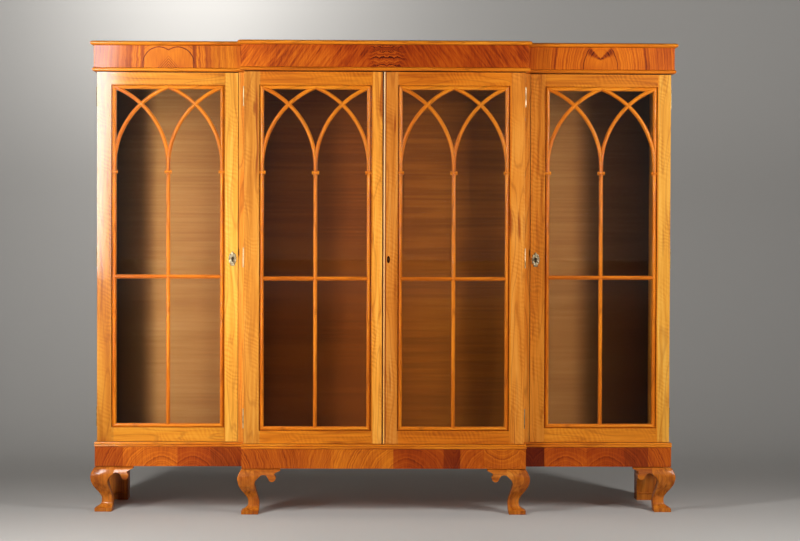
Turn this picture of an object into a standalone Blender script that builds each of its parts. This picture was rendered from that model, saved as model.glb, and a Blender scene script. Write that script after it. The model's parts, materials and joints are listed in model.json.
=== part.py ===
# A walnut breakfront bookcase: two wings and a projecting centre behind four glazed doors with
# Gothic tracery, on cabriole bracket feet. Metres, +Z up. The front faces -Y, +X is to the right
# of someone who looks at the doors, and the origin is the middle of the box on the floor.

import math
from collections import namedtuple

import bmesh
import bpy
from mathutils import Matrix, Vector

# Fits that the whole piece of furniture shares
seat_gap = 0.0003            # between faces that are glued or rest on each other
overrun = 0.004              # how far a cutter runs past the wood it cuts
glue_depth = 0.003           # how far pieces glued into one run into each other

# The case in plan and in height
case_width = 1.890
case_depth = 0.325           # a wing, from its front edge to the back
breakfront = 0.062           # how far the centre stands in front of the wings
centre_width = 0.917         # over the sides of the projecting centre
foot_height = 0.150
skirt_height = 0.064
bottom_thickness = 0.016
door_space_height = 1.219    # from the bottom board up to the bead under the frieze
bead_height = 0.012
frieze_height = 0.073
top_thickness = 0.015

# Boards of the case
end_thickness = 0.022
centre_side_thickness = 0.018    # the part of a partition that a centre door closes on
inner_thickness = 0.022      # the part of a partition that shows beside a wing door
back_thickness = 0.008
skirt_thickness = 0.022
rear_rail_thickness = 0.022
block_side = 0.040
ledge_width = 0.008          # the ledge that a wing door's free edge closes on
ledge_depth = 0.012
stop_width = 0.060           # the stop behind the meeting stiles
stop_thickness = 0.010
stop_drop = 0.012            # how far the stop hangs below the frieze
stop_cover = 0.014           # how far it runs up behind the frieze

# Mouldings: how far each stands out from the plane of the doors and the sides
frieze_out = 0.010
bead_out = 0.015
cap_out = 0.021
cap_setback = 0.016          # from the nose of the cap in to its top edge
cap_nose_height = 0.0065
cap_under_round = 0.005
reed_out = 0.0085
skirt_out = 0.0065
reed_count = 2
round_steps = 4

# Doors
door_thickness = 0.022
door_back_gap = 0.0005       # between the back of a door and the edge of the case
door_end_gap = 0.0015        # above and below a door
lock_side_gap = 0.002        # between a wing door and the partition
meeting_gap = 0.0015
left_wing_hinge_stile = 0.047
left_wing_lock_stile = 0.044
right_wing_hinge_stile = 0.0435
right_wing_lock_stile = 0.0475
centre_hinge_stile = 0.0495
left_meeting_stile = 0.0375
right_meeting_stile = 0.047
wing_top_rail = 0.0415
wing_bottom_rail = 0.046
centre_top_rail = 0.0445
centre_bottom_rail = 0.042

# Tracery: one moulded bar section, a border bead round the opening and rings at the springing
border_width = 0.0135
bar_width = 0.013
bar_side_height = 0.0032     # the flat flank of a bar below its round
bar_depth = 0.0090
tracery_set_back = 0.0012    # the crown of the rings behind the face of the door
layer_step = 0.0002          # bars that cross differ by this much in depth
springing_drop = 0.272       # from the top of the glass down to the springing of the arches
cross_bar_rise = 0.484       # from the bottom of the glass up to the cross bar
ring_width = 0.022
ring_side_reach = 0.005      # a side ring past its border bead
ring_height = 0.011
ring_proud = 0.0010
arch_steps = 12
bar_round_steps = 5

# Glazing: the pane lies in a rebate, in front of a lip and behind the tracery
glass_thickness = 0.0025
glass_edge_clearance = 0.001
lip_width = 0.009

# The bead on the meeting edge of the right centre door
meeting_bead_width = 0.007
meeting_bead_proud = 0.003
meeting_bead_sides = 12

# Butt hinges, three to a door
hinge_height = 0.065
hinge_from_end = 0.080
knuckle_radius = 0.0026
knuckle_clearance = 0.0003
pin_radius = 0.0013
leaf_width = 0.0155
leaf_thickness = 0.0018
knuckle_sides = 10
pin_sides = 8

# Cut locks, one on each wing door and one on the right centre door
keyhole_height = 0.836       # above the floor
keyhole_backset = 0.017      # from the free edge of the door
keyhole_radius = 0.0026
keyhole_sides = 12
keyhole_slot_width = 0.0024
keyhole_slot_drop = 0.009
keyhole_depth_share = 0.8    # of the thickness of the door
lock_width = 0.032
lock_depth = 0.012
lock_below_key = 0.020
lock_above_key = 0.032
bolt_above_key = 0.020
bolt_height = 0.014
bolt_thickness = 0.006
bolt_length = 0.024
bolt_throw = 0.008
bolt_rest_back = 0.0003      # the drawn bolt behind the edge of the door
mortise_spare = 0.003        # the mortise past the thrown bolt
keep_notch_height = 0.021
keep_notch_width = 0.003

# Escutcheon plates on the wing doors
escutcheon_width = 0.033
escutcheon_height = 0.052
escutcheon_thickness = 0.0014
escutcheon_lobes = 8
escutcheon_lobe_share = 0.13
escutcheon_points = 64

# Cabriole bracket feet. Shares are of leg_width across and of foot_height up, from the
# outer face of the skirt and from the floor.
leg_width = 0.0625
outer_curve_shares = (
    (0.03, 1.00), (-0.10, 0.925), (-0.21, 0.80), (-0.165, 0.66), (-0.03, 0.545),
    (0.19, 0.42), (0.31, 0.33), (0.335, 0.24), (0.28, 0.16), (0.08, 0.097), (-0.015, 0.078),
)
inner_curve_shares = (
    (1.00, 1.00), (1.00, 0.86), (0.80, 0.775), (0.69, 0.70), (0.68, 0.64), (0.76, 0.50),
    (0.865, 0.34), (0.91, 0.245), (0.90, 0.12), (0.87, 0.00),
)
toe_share = -0.015
curve_steps = 2

# Rear feet: straight brackets, with a bead over a plain shoe across their front
rear_foot_width = 0.073
rear_foot_depth = 0.060
shoe_height = 0.020
shoe_proud = 0.004
shoe_bead_height = 0.007
shoe_bead_proud = 0.0025

# The ear beside a foot: its outline in shares of ear_length across and of foot_height up
ear_length = 0.1265
ear_thickness = 0.022
ear_set_back = 0.0005        # the face of the ear behind the face of the leg
ear_root_share = 0.20
ear_tip_share = 0.955
ear_notch_shares = ((0.93, 0.935), (0.85, 0.895))
ear_arch_shares = ((0.645, 0.852), (0.565, 0.868), (0.48, 0.845), (0.40, 0.775), (0.33, 0.69))
scroll_radius = 0.012
scroll_centre_shares = (0.79, 0.797)
scroll_start_degrees = 55
scroll_sweep_degrees = 225
scroll_steps = 8

# Heights of the main levels
skirt_top = foot_height + skirt_height
floor_level = skirt_top + bottom_thickness
bead_level = floor_level + door_space_height
frieze_level = bead_level + bead_height
ceiling = frieze_level + frieze_height
door_low = floor_level + door_end_gap
door_high = bead_level - door_end_gap
bolt_level = keyhole_height + bolt_above_key
hinge_levels = {
    "top": door_high - hinge_from_end,
    "middle": (door_low + door_high) / 2,
    "bottom": door_low + hinge_from_end,
}

# Planes from the back to the front
total_depth = case_depth + door_back_gap + door_thickness + breakfront + cap_out
back_plane = total_depth / 2
wing_edge = back_plane - case_depth
wing_face = wing_edge - door_back_gap - door_thickness
centre_edge = wing_edge - breakfront
centre_face = wing_face - breakfront

# Planes from the middle to the sides
case_half = case_width / 2
centre_half = centre_width / 2
partition_outside = centre_half + inner_thickness
partition_inside = centre_half - centre_side_thickness

# The line that mouldings and frames follow: the sides of the case and the faces of the doors
plan_line = (
    (-case_half, back_plane), (-case_half, wing_face), (-centre_half, wing_face),
    (-centre_half, centre_face), (centre_half, centre_face), (centre_half, wing_face),
    (case_half, wing_face), (case_half, back_plane),
)

# A door is modelled as a left-hand one, about its hinge pin: the pin stands at zero across and
# in depth, the door runs along +X from it, and heights are those above the floor. A door on
# the right is the mirror image. side is -1 on the left and 1 on the right.
Door = namedtuple("Door", "name side outside edge width hinge_stile free_stile top_rail bottom_rail")
pin_out = knuckle_radius + knuckle_clearance
door_back = -door_back_gap / 2
door_face = door_back - door_thickness
lattice_back = door_face + tracery_set_back + ring_proud + bar_depth
glass_front = lattice_back + seat_gap
lip_front = glass_front + glass_thickness + seat_gap
bolt_middle = door_back - lock_depth / 2
wing_width = case_half - partition_outside - lock_side_gap
centre_stiles = 2 * centre_hinge_stile + left_meeting_stile + right_meeting_stile
centre_opening = (centre_width - meeting_gap - centre_stiles) / 2
doors = (
    Door("left_wing", -1, case_half, wing_edge, wing_width,
         left_wing_hinge_stile, left_wing_lock_stile, wing_top_rail, wing_bottom_rail),
    Door("centre_left", -1, centre_half, centre_edge,
         centre_hinge_stile + centre_opening + left_meeting_stile,
         centre_hinge_stile, left_meeting_stile, centre_top_rail, centre_bottom_rail),
    Door("centre_right", 1, centre_half, centre_edge,
         centre_hinge_stile + centre_opening + right_meeting_stile,
         centre_hinge_stile, right_meeting_stile, centre_top_rail, centre_bottom_rail),
    Door("right_wing", 1, case_half, wing_edge, wing_width,
         right_wing_hinge_stile, right_wing_lock_stile, wing_top_rail, wing_bottom_rail),
)

# Colour, roughness, metallic and alpha of each finish, and the angle past which shading is sharp
finishes = {
    "walnut": ((0.56, 0.24, 0.06), 0.32),
    "figured walnut": ((0.40, 0.13, 0.035), 0.30),
    "amber bead": ((0.60, 0.23, 0.04), 0.28),
    "plywood": ((0.36, 0.20, 0.10), 0.60),
    "brass": ((0.78, 0.62, 0.36), 0.30, 1.0),
    "glass": ((0.90, 0.93, 0.92), 0.05, 0.0, 0.25),
}
sharp_degrees = 35


# Tools for meshes

def box(low, high):
    mesh = bmesh.new()
    size = [b - a for a, b in zip(low, high)]
    middle = [(a + b) / 2 for a, b in zip(low, high)]
    place = Matrix.Translation(middle) @ Matrix.Diagonal((*size, 1))
    bmesh.ops.create_cube(mesh, size=1, matrix=place)
    return mesh


def prism(outline, travel):
    # A flat outline of 3-D points, extruded along the vector travel
    mesh = bmesh.new()
    face = mesh.faces.new([mesh.verts.new(point) for point in outline])
    grown = bmesh.ops.extrude_face_region(mesh, geom=[face], use_keep_orig=True)
    far_side = [item for item in grown["geom"] if isinstance(item, bmesh.types.BMVert)]
    bmesh.ops.translate(mesh, vec=travel, verts=far_side)
    return mesh


def loft(rings, closed=False):
    # Rings of as many points each, joined in turn. An open loft gets a cap at both ends.
    mesh = bmesh.new()
    loops = [[mesh.verts.new(point) for point in ring] for ring in rings]
    pairs = list(zip(loops, loops[1:]))
    if closed:
        pairs.append((loops[-1], loops[0]))
    for first, second in pairs:
        for index in range(len(first)):
            after = (index + 1) % len(first)
            mesh.faces.new((first[index], first[after], second[after], second[index]))
    if not closed:
        mesh.faces.new(loops[0][::-1])
        mesh.faces.new(loops[-1])
    return mesh


def upright_cylinder(low, high, radius, sides):
    mesh = bmesh.new()
    place = Matrix.Translation((0, 0, (low + high) / 2))
    bmesh.ops.create_cone(mesh, cap_ends=True, segments=sides, radius1=radius, radius2=radius,
                          depth=high - low, matrix=place)
    return mesh


def as_object(mesh, name):
    bmesh.ops.recalc_face_normals(mesh, faces=mesh.faces)
    data = bpy.data.meshes.new(name)
    mesh.to_mesh(data)
    mesh.free()
    item = bpy.data.objects.new(name, data)
    bpy.context.collection.objects.link(item)
    return item


def boolean(mesh, tool, operation):
    target = as_object(mesh, "target")
    cutter = as_object(tool, "cutter")
    step = target.modifiers.new("step", "BOOLEAN")
    step.operation = operation
    step.object = cutter
    step.solver = "EXACT"
    graph = bpy.context.evaluated_depsgraph_get()
    data = bpy.data.meshes.new_from_object(target.evaluated_get(graph))
    result = bmesh.new()
    result.from_mesh(data)
    bpy.data.objects.remove(target)
    bpy.data.objects.remove(cutter)
    bpy.data.meshes.remove(data)
    return result


def cut(mesh, *tools):
    for tool in tools:
        mesh = boolean(mesh, tool, "DIFFERENCE")
    return mesh


def union(mesh, *others):
    for other in others:
        mesh = boolean(mesh, other, "UNION")
    return mesh


def on_side(mesh, side):
    # Left-hand pieces are modelled as they stand; right-hand ones are their mirror image
    if side > 0:
        bmesh.ops.scale(mesh, vec=(-1, 1, 1), verts=mesh.verts)
    return mesh


def smooth_line(points, steps):
    # A Catmull-Rom curve through the points
    line = []
    last = len(points) - 1
    for index in range(last):
        p0 = Vector(points[max(index - 1, 0)])
        p1 = Vector(points[index])
        p2 = Vector(points[index + 1])
        p3 = Vector(points[min(index + 2, last)])
        for step in range(steps):
            t = step / steps
            slope = (p2 - p0) * t
            bend = (2 * p0 - 5 * p1 + 4 * p2 - p3) * t ** 2
            twist = (3 * p1 - p0 - 3 * p2 + p3) * t ** 3
            line.append(p1 + (slope + bend + twist) / 2)
    line.append(Vector(points[last]))
    return line


def material(name, colour, roughness, metallic=0.0, alpha=1.0):
    made = bpy.data.materials.new(name)
    made.use_nodes = True
    shader = made.node_tree.nodes["Principled BSDF"]
    shader.inputs["Base Color"].default_value = (*colour, 1)
    shader.inputs["Roughness"].default_value = roughness
    shader.inputs["Metallic"].default_value = metallic
    shader.inputs["Alpha"].default_value = alpha
    made.diffuse_color = (*colour, alpha)
    return made


def publish(name, mesh, finish, place=(0, 0, 0), parent=None):
    item = as_object(mesh, name)
    item.data.materials.append(material(name, *finishes[finish]))
    item.data.shade_smooth()
    item.data.set_sharp_from_angle(angle=math.radians(sharp_degrees))
    item.location = place
    item.parent = parent


def joint_empty(name, place, parent=None):
    item = bpy.data.objects.new(name, None)
    bpy.context.collection.objects.link(item)
    item.location = place
    item.parent = parent
    return item


# Boards, frames and mouldings that follow the plan of the case

def plan_offset(out):
    # The plan line moved outward, square to each of its sides
    corners = [Vector(point) for point in plan_line]
    moved = []
    for index, corner in enumerate(corners):
        normals = []
        for start in (index - 1, index):
            if 0 <= start < len(corners) - 1:
                run = (corners[start + 1] - corners[start]).normalized()
                normals.append(Vector((run.y, -run.x)))
        total = sum(normals, Vector((0, 0)))
        moved.append(corner + total * out / total.dot(normals[0]))
    return moved


def run_round(profile, level):
    # A profile of (outward, up) points carried round the front and the sides
    lines = [plan_offset(out) for out, _ in profile]
    rings = []
    for corner in range(len(plan_line)):
        rings.append([(*lines[point][corner], level + up) for point, (_, up) in enumerate(profile)])
    return loft(rings)


def edged_board(profile, level):
    # A board of the shape of the plan, its edge worked to a profile from the bottom up
    return loft([[(*point, level + up) for point in plan_offset(out)] for out, up in profile])


def quarter(centre, radii, start_degrees):
    # A quarter of an ellipse, turning up from start_degrees
    points = []
    for step in range(round_steps + 1):
        angle = math.radians(start_degrees + 90 * step / round_steps)
        points.append((centre[0] + radii[0] * math.cos(angle), centre[1] + radii[1] * math.sin(angle)))
    return points


def half_round(out, low, height):
    radius = height / 2
    middle = (out - radius, low + radius)
    return quarter(middle, (radius, radius), -90) + quarter(middle, (radius, radius), 0)[1:]


def make_top_board():
    # The edge is a thumb moulding: a flat elliptical round above the nose, a tight one below it
    height = top_thickness - seat_gap
    lower = quarter((cap_out - cap_under_round, cap_nose_height), (cap_under_round, cap_nose_height), -90)
    upper = quarter((cap_out - cap_setback, cap_nose_height), (cap_setback, height - cap_nose_height), 0)
    publish("top_board", edged_board(lower + upper[1:], ceiling + seat_gap), "walnut")


def make_bottom_board():
    # The edge carries two reeds, one above the other
    reed = (bottom_thickness - seat_gap) / reed_count
    profile = []
    for index in range(reed_count):
        profile += half_round(reed_out, index * reed, reed)[1 if index else 0:]
    publish("bottom_board", edged_board(profile, skirt_top + seat_gap), "walnut")


def make_frieze():
    # A frame level with the doors. Its face steps out above the bead, and a stop for the
    # centre doors hangs behind it.
    high = frieze_height + bead_height - seat_gap
    step = bead_height + seat_gap
    profile = [(-door_thickness, 0), (0, 0), (0, step), (frieze_out, step), (frieze_out, high),
               (-door_thickness, high)]
    half = stop_width / 2
    tail = bead_level + stop_cover
    arm = box((-half, centre_face + door_thickness - glue_depth, bead_level + glue_depth),
              (half, centre_edge + stop_thickness, tail))
    hanging = box((-half, centre_edge, bead_level - stop_drop), (half, centre_edge + stop_thickness, tail))
    publish("frieze_frame", union(run_round(profile, bead_level), union(arm, hanging)), "figured walnut")
    bead = half_round(bead_out, 0, bead_height)
    publish("frieze_bead", run_round([(seat_gap, 0)] + bead + [(seat_gap, bead_height)], bead_level),
            "amber bead")


def make_skirt():
    # Front and side boards, a rail across the back and a glue block in each corner over a foot
    inside = skirt_out - skirt_thickness
    low = foot_height + seat_gap
    height = skirt_height - seat_gap
    profile = [(inside, 0), (skirt_out, 0), (skirt_out, height), (inside, height)]
    frame = run_round(profile, low)
    z_low = low + seat_gap
    z_high = skirt_top - seat_gap
    reach = case_half + inside + glue_depth
    rail_front = back_plane - rear_rail_thickness
    frame = union(frame, box((-reach, rail_front, z_low), (reach, back_plane - seat_gap, z_high)))
    corners = (
        (case_half + inside, wing_face - inside),
        (centre_half + inside, centre_face - inside),
        (case_half + inside, rail_front - block_side),
    )
    for side in (-1, 1):
        for across, front in corners:
            x_low, x_high = sorted((side * (across - block_side), side * (across + glue_depth)))
            block = box((x_low, front - glue_depth, z_low + seat_gap),
                        (x_high, front + block_side + glue_depth, z_high - seat_gap))
            frame = union(frame, block)
    publish("skirt_frame", frame, "figured walnut")


# Upright boards

def hinge_seats(outside, y_low, y_high):
    # Where three hinge leaves are let into an edge that begins at outside and runs along +X
    half = hinge_height / 2 + seat_gap
    return [box((outside - overrun, y_low, level - half),
                (outside + leaf_width + seat_gap, y_high, level + half))
            for level in hinge_levels.values()]


def bolt_mortise(edge, middle):
    # The hole for a thrown bolt, along +X from the face at edge
    half_thick = bolt_thickness / 2 + seat_gap
    half_high = bolt_height / 2 + seat_gap
    return box((edge - overrun, middle - half_thick, bolt_level - half_high),
               (edge + bolt_throw + mortise_spare, middle + half_thick, bolt_level + half_high))


def make_end_panels():
    low = floor_level + seat_gap
    high = bead_level - seat_gap
    for side, word in ((-1, "left"), (1, "right")):
        panel = box((-case_half, wing_edge, low), (end_thickness - case_half, back_plane, high))
        leaf_seat = wing_edge + leaf_thickness + seat_gap
        panel = cut(panel, *hinge_seats(-case_half, wing_edge - overrun, leaf_seat))
        publish(word + "_end_panel", on_side(panel, side), "walnut")


def make_partitions():
    # The front edge is in two steps: the inner one carries a centre door, and the outer one
    # shows beside a wing door, with a ledge for that door to close on
    low = floor_level + seat_gap
    high = bead_level - seat_gap
    rear = back_plane - back_thickness - seat_gap
    ledge_rear = wing_edge + ledge_depth
    ledge_side = -partition_outside - ledge_width
    outline = [
        (-partition_inside, rear), (-partition_inside, centre_edge), (-centre_half, centre_edge),
        (-centre_half, wing_face), (-partition_outside, wing_face), (-partition_outside, wing_edge),
        (ledge_side, wing_edge), (ledge_side, ledge_rear), (-partition_outside, ledge_rear),
        (-partition_outside, rear),
    ]
    bolt_y = wing_edge + door_back + bolt_middle
    notch_reach = keep_notch_width - partition_outside
    for side, word in ((-1, "left"), (1, "right")):
        board = prism([(x, y, low) for x, y in outline], (0, 0, high - low))
        notch = box((-partition_outside - overrun, wing_face - overrun, bolt_level - keep_notch_height / 2),
                    (notch_reach, bolt_y, bolt_level + keep_notch_height / 2))
        leaf_seat = centre_edge + leaf_thickness + seat_gap
        board = cut(board, bolt_mortise(-partition_outside, bolt_y), notch,
                    *hinge_seats(-centre_half, centre_edge - overrun, leaf_seat))
        publish(word + "_partition", on_side(board, side), "walnut")


def make_back_panel():
    half = case_half - end_thickness - seat_gap
    publish("back_panel", box((-half, back_plane - back_thickness, floor_level + seat_gap),
                              (half, back_plane, ceiling - seat_gap)), "plywood")


# Feet, modelled about the corner of the skirt above them: +X and +Y run inward

def curve_at(line, height):
    # How far in a falling line stands at a height
    for upper, lower in zip(line, line[1:]):
        if lower.y <= height <= upper.y and upper.y > lower.y:
            return lower.x + (upper.x - lower.x) * (height - lower.y) / (upper.y - lower.y)
    return line[-1].x


def leg_line(shares):
    return [Vector((leg_width * x, foot_height * z)) for x, z in smooth_line(shares, curve_steps)]


def leg_rings():
    # Sawn to the same curves on both faces
    outer = leg_line(outer_curve_shares)
    inner = leg_line(inner_curve_shares)
    outer.append(Vector((leg_width * toe_share, 0)))
    rings = []
    for point in outer:
        out = point.x
        back = curve_at(inner, point.y)
        rings.append([(out, out, point.y), (back, out, point.y), (back, back, point.y), (out, back, point.y)])
    return rings


def ear_outline():
    # Along one face: straight top, tip, notch, scroll, then the arch back into the leg
    points = [(ear_length * ear_root_share, foot_height), (ear_length, foot_height),
              (ear_length, foot_height * ear_tip_share)]
    points += [(ear_length * x, foot_height * z) for x, z in ear_notch_shares]
    across = ear_length * scroll_centre_shares[0]
    up = foot_height * scroll_centre_shares[1]
    for step in range(scroll_steps + 1):
        angle = math.radians(scroll_start_degrees - scroll_sweep_degrees * step / scroll_steps)
        points.append((across + scroll_radius * math.cos(angle), up + scroll_radius * math.sin(angle)))
    points += [(ear_length * p.x, foot_height * p.y) for p in smooth_line(ear_arch_shares, curve_steps)]
    points.append((ear_length * ear_root_share, foot_height * ear_arch_shares[-1][1]))
    return points


def ear():
    # The bracket that runs along the front from a leg, its face following the curve of the knee
    outline = ear_outline()
    flat = prism([(x, -leg_width, z) for x, z in outline], (0, 2 * leg_width, 0))
    lowest = min(z for _, z in outline) - overrun
    line = [point for point in leg_line(outer_curve_shares) if point.y > lowest]
    strip = [(0, point.x + ear_set_back, point.y) for point in line]
    strip += [(0, ear_thickness, line[-1].y), (0, ear_thickness, foot_height)]
    return boolean(flat, prism(strip, (ear_length + overrun, 0, 0)), "INTERSECT")


def rear_leg():
    # Straight on every side, but for the bead and the shoe across its front
    bead = half_round(rear_foot_depth + shoe_bead_proud, shoe_height, shoe_bead_height)
    outline = [(0, 0), (rear_foot_depth + shoe_proud, 0), (rear_foot_depth + shoe_proud, shoe_height), *bead,
               (rear_foot_depth, foot_height), (0, foot_height)]
    return prism([(0, y, z) for y, z in outline], (rear_foot_width, 0, 0))


def flat_ear():
    return prism([(x, ear_set_back, z) for x, z in ear_outline()], (0, ear_thickness, 0))


def turned_to_side(mesh):
    # The same piece along the side of the case
    for vert in mesh.verts:
        vert.co = (vert.co.y, vert.co.x, vert.co.z)
    return mesh


def front_to_back(mesh):
    bmesh.ops.scale(mesh, vec=(1, -1, 1), verts=mesh.verts)
    return mesh


def make_feet():
    outside = case_half + skirt_out
    for side, word in ((-1, "left"), (1, "right")):
        outer_foot = union(loft(leg_rings()), ear(), turned_to_side(ear()))
        inner_foot = union(loft(leg_rings()), ear())
        rear_foot = front_to_back(union(rear_leg(), turned_to_side(flat_ear())))
        publish(word + "_outer_foot", on_side(outer_foot, side), "walnut",
                (side * outside, wing_face - skirt_out, 0))
        publish(word + "_inner_foot", on_side(inner_foot, side), "walnut",
                (side * (centre_half + skirt_out), centre_face - skirt_out, 0))
        publish(word + "_rear_foot", on_side(rear_foot, side), "walnut", (side * outside, back_plane, 0))


# Hinges, modelled about the middle of the pin

def hinge_leaf(rearward, knuckles):
    # A flat leaf and its knuckles: rearward is 1 for the leaf on the case, -1 for the door's
    near = rearward * door_back_gap / 2
    far = near + rearward * leaf_thickness
    y_low, y_high = sorted((near, far))
    half = hinge_height / 2
    mesh = box((pin_out, y_low, -half), (pin_out + leaf_width, y_high, half))
    third = hinge_height / 3
    for index in knuckles:
        low = third * index - half + seat_gap / 2
        high = low + third - seat_gap
        barrel = upright_cylinder(low, high, knuckle_radius, knuckle_sides)
        lug = box((0, y_low + seat_gap, low + seat_gap), (pin_out + knuckle_radius, y_high - seat_gap,
                                                          high - seat_gap))
        mesh = union(mesh, union(lug, barrel))
    return mesh


def case_leaf():
    # The case's leaf keeps the pin, riveted in its two end knuckles
    half = hinge_height / 2 - seat_gap
    return union(hinge_leaf(1, (0, 2)), upright_cylinder(-half, half, pin_radius, pin_sides))


def door_leaf():
    bore = pin_radius + knuckle_clearance
    return cut(hinge_leaf(-1, (1,)), upright_cylinder(-hinge_height, hinge_height, bore, pin_sides))


def make_hinges(door, pin, door_empty):
    for word, level in hinge_levels.items():
        name = door.name + "_" + word + "_hinge"
        publish(name + "_case_leaf", on_side(case_leaf(), door.side), "brass", (pin[0], pin[1], level))
        publish(name + "_door_leaf", on_side(door_leaf(), door.side), "brass", (0, 0, level), door_empty)


# Tracery, modelled about the middle of its opening, its back at depth zero

def bar_section(width, depth):
    # Across and forward from the flat back: two flanks and a round crown
    crown = depth - bar_side_height
    points = [(-width / 2, 0)]
    for step in range(bar_round_steps + 1):
        angle = math.pi * (1 - step / bar_round_steps)
        points.append((width / 2 * math.cos(angle), bar_side_height + crown * math.sin(angle)))
    points.append((width / 2, 0))
    return points


def bar_along(line, section, layer):
    # A bar carried along a flat line of (x, z) points; layer is how far forward its back lies
    rings = []
    for index, point in enumerate(line):
        before = line[max(index - 1, 0)]
        after = line[min(index + 1, len(line) - 1)]
        run = (Vector(after) - Vector(before)).normalized()
        rings.append([(point[0] + run.y * u, -layer - out, point[1] - run.x * u) for u, out in section])
    return loft(rings)


def border(width, height):
    # The bead round the opening, mitred at the corners
    rings = []
    for side, end in ((-1, -1), (1, -1), (1, 1), (-1, 1)):
        ring = []
        for u, out in bar_section(border_width, bar_depth):
            inset = border_width / 2 + u
            ring.append((side * (width / 2 - inset), -out, end * (height / 2 - inset)))
        rings.append(ring)
    return loft(rings, closed=True)


def arch_line(foot, tip):
    # A circle that leaves foot straight upward and passes through tip
    across = tip[0] - foot[0]
    rise = tip[1] - foot[1]
    radius = (across ** 2 + rise ** 2) / (2 * abs(across))
    full_angle = math.asin(rise / radius)
    line = []
    for step in range(arch_steps + 1):
        angle = full_angle * step / arch_steps
        reach = radius * (1 - math.cos(angle))
        line.append((foot[0] + math.copysign(reach, across), foot[1] + radius * math.sin(angle)))
    return line


def tracery(width, height):
    # Interlaced arches: from every upright two arcs of one radius rise, so they cross between
    edge = width / 2 - border_width / 2
    top = height / 2 - border_width / 2
    springing = height / 2 - border_width - springing_drop
    cross = border_width + cross_bar_rise - height / 2
    bar = bar_section(bar_width, bar_depth - 2 * layer_step)
    pieces = [bar_along([(0, -top), (0, springing)], bar, layer_step),
              bar_along([(-edge, cross), (edge, cross)], bar, 2 * layer_step)]
    for side in (-1, 1):
        outer_arch = arch_line((side * edge, springing), (0, top))
        inner_arch = arch_line((0, springing), (side * edge, top))
        pieces.append(bar_along(outer_arch, bar, 3 * layer_step))
        pieces.append(bar_along(inner_arch, bar, 4 * layer_step))
    ring = bar_section(ring_height, bar_depth + ring_proud)
    reach = border_width / 2 + ring_side_reach
    for left, right in ((-ring_width / 2, ring_width / 2), (-edge, reach - edge), (edge - reach, edge)):
        pieces.append(bar_along([(left, springing), (right, springing)], ring, 0))
    return union(border(width, height), *pieces)


# Doors, about the hinge pin

def free_edge(door):
    return pin_out + door.width


def opening_of(door):
    return (pin_out + door.hinge_stile, free_edge(door) - door.free_stile,
            door_low + door.bottom_rail, door_high - door.top_rail)


def keyhole(door):
    # A round hole over a narrow slot, through the stile and into the lock
    x = free_edge(door) - keyhole_backset
    front = door_face - overrun
    deep = door_thickness * keyhole_depth_share + overrun
    outline = []
    for step in range(keyhole_sides):
        angle = math.tau * step / keyhole_sides
        outline.append((x + keyhole_radius * math.cos(angle), front,
                        keyhole_height + keyhole_radius * math.sin(angle)))
    half = keyhole_slot_width / 2
    slot = box((x - half, front, keyhole_height - keyhole_slot_drop),
               (x + half, front + deep, keyhole_height))
    return union(prism(outline, (0, deep, 0)), slot)


def lock_block(door, clearance):
    # The lock lies in the stile, its selvedge flush with the free edge and its back with the door's
    free = free_edge(door)
    past = overrun if clearance else 0
    return box((free - lock_width - clearance, door_back - lock_depth - clearance,
                keyhole_height - lock_below_key - clearance),
               (free + past, door_back + past, keyhole_height + lock_above_key + clearance))


def bolt_block(door, clearance):
    # The drawn bolt, or with a clearance the channel that it slides in
    tip = free_edge(door) - bolt_rest_back
    past = overrun if clearance else 0
    half_thick = bolt_thickness / 2 + clearance
    half_high = bolt_height / 2 + clearance
    return box((tip - bolt_length - clearance, bolt_middle - half_thick, bolt_level - half_high),
               (tip + past, bolt_middle + half_thick, bolt_level + half_high))


def meeting_bead(door):
    # A round bead half sunk in the face, along the free edge
    x = free_edge(door) - seat_gap - meeting_bead_width / 2
    low = door_low + seat_gap
    outline = []
    for step in range(meeting_bead_sides):
        angle = math.tau * step / meeting_bead_sides
        outline.append((x + meeting_bead_width / 2 * math.cos(angle),
                        door_face + meeting_bead_proud * math.sin(angle), low))
    return prism(outline, (0, 0, door_high - seat_gap - low))


def make_frame(door, door_empty):
    # Stiles and rails glued into one, rebated from the front for the pane and the tracery
    left, right, low, high = opening_of(door)
    frame = box((pin_out, door_face, door_low), (free_edge(door), door_back, door_high))
    rebate = box((left, door_face - overrun, low), (right, lip_front, high))
    window = box((left + lip_width, door_face, low + lip_width),
                 (right - lip_width, door_back + overrun, high - lip_width))
    leaf_seat = door_back - leaf_thickness - seat_gap
    frame = cut(frame, rebate, window, *hinge_seats(pin_out, leaf_seat, door_back + overrun))
    if door.name == "centre_left":
        mortise = bolt_mortise(-free_edge(door), bolt_middle)
        frame = cut(frame, on_side(mortise, 1))
    else:
        frame = cut(frame, lock_block(door, seat_gap), keyhole(door))
    if door.name == "centre_right":
        frame = union(frame, meeting_bead(door))
    publish(door.name + "_door_frame", on_side(frame, door.side), "walnut", parent=door_empty)


def make_glazing(door, door_empty):
    left, right, low, high = opening_of(door)
    across = (left + right) / 2
    up = (low + high) / 2
    width = right - left - 2 * seat_gap
    height = high - low - 2 * seat_gap
    place = (-door.side * across, lattice_back, up)
    publish(door.name + "_door_tracery", on_side(tracery(width, height), door.side), "amber bead",
            place, door_empty)
    half_width = width / 2 - glass_edge_clearance
    half_height = height / 2 - glass_edge_clearance
    pane = box((-half_width, 0, -half_height), (half_width, glass_thickness, half_height))
    publish(door.name + "_door_glass", pane, "glass", (place[0], glass_front, up), door_empty)


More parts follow.
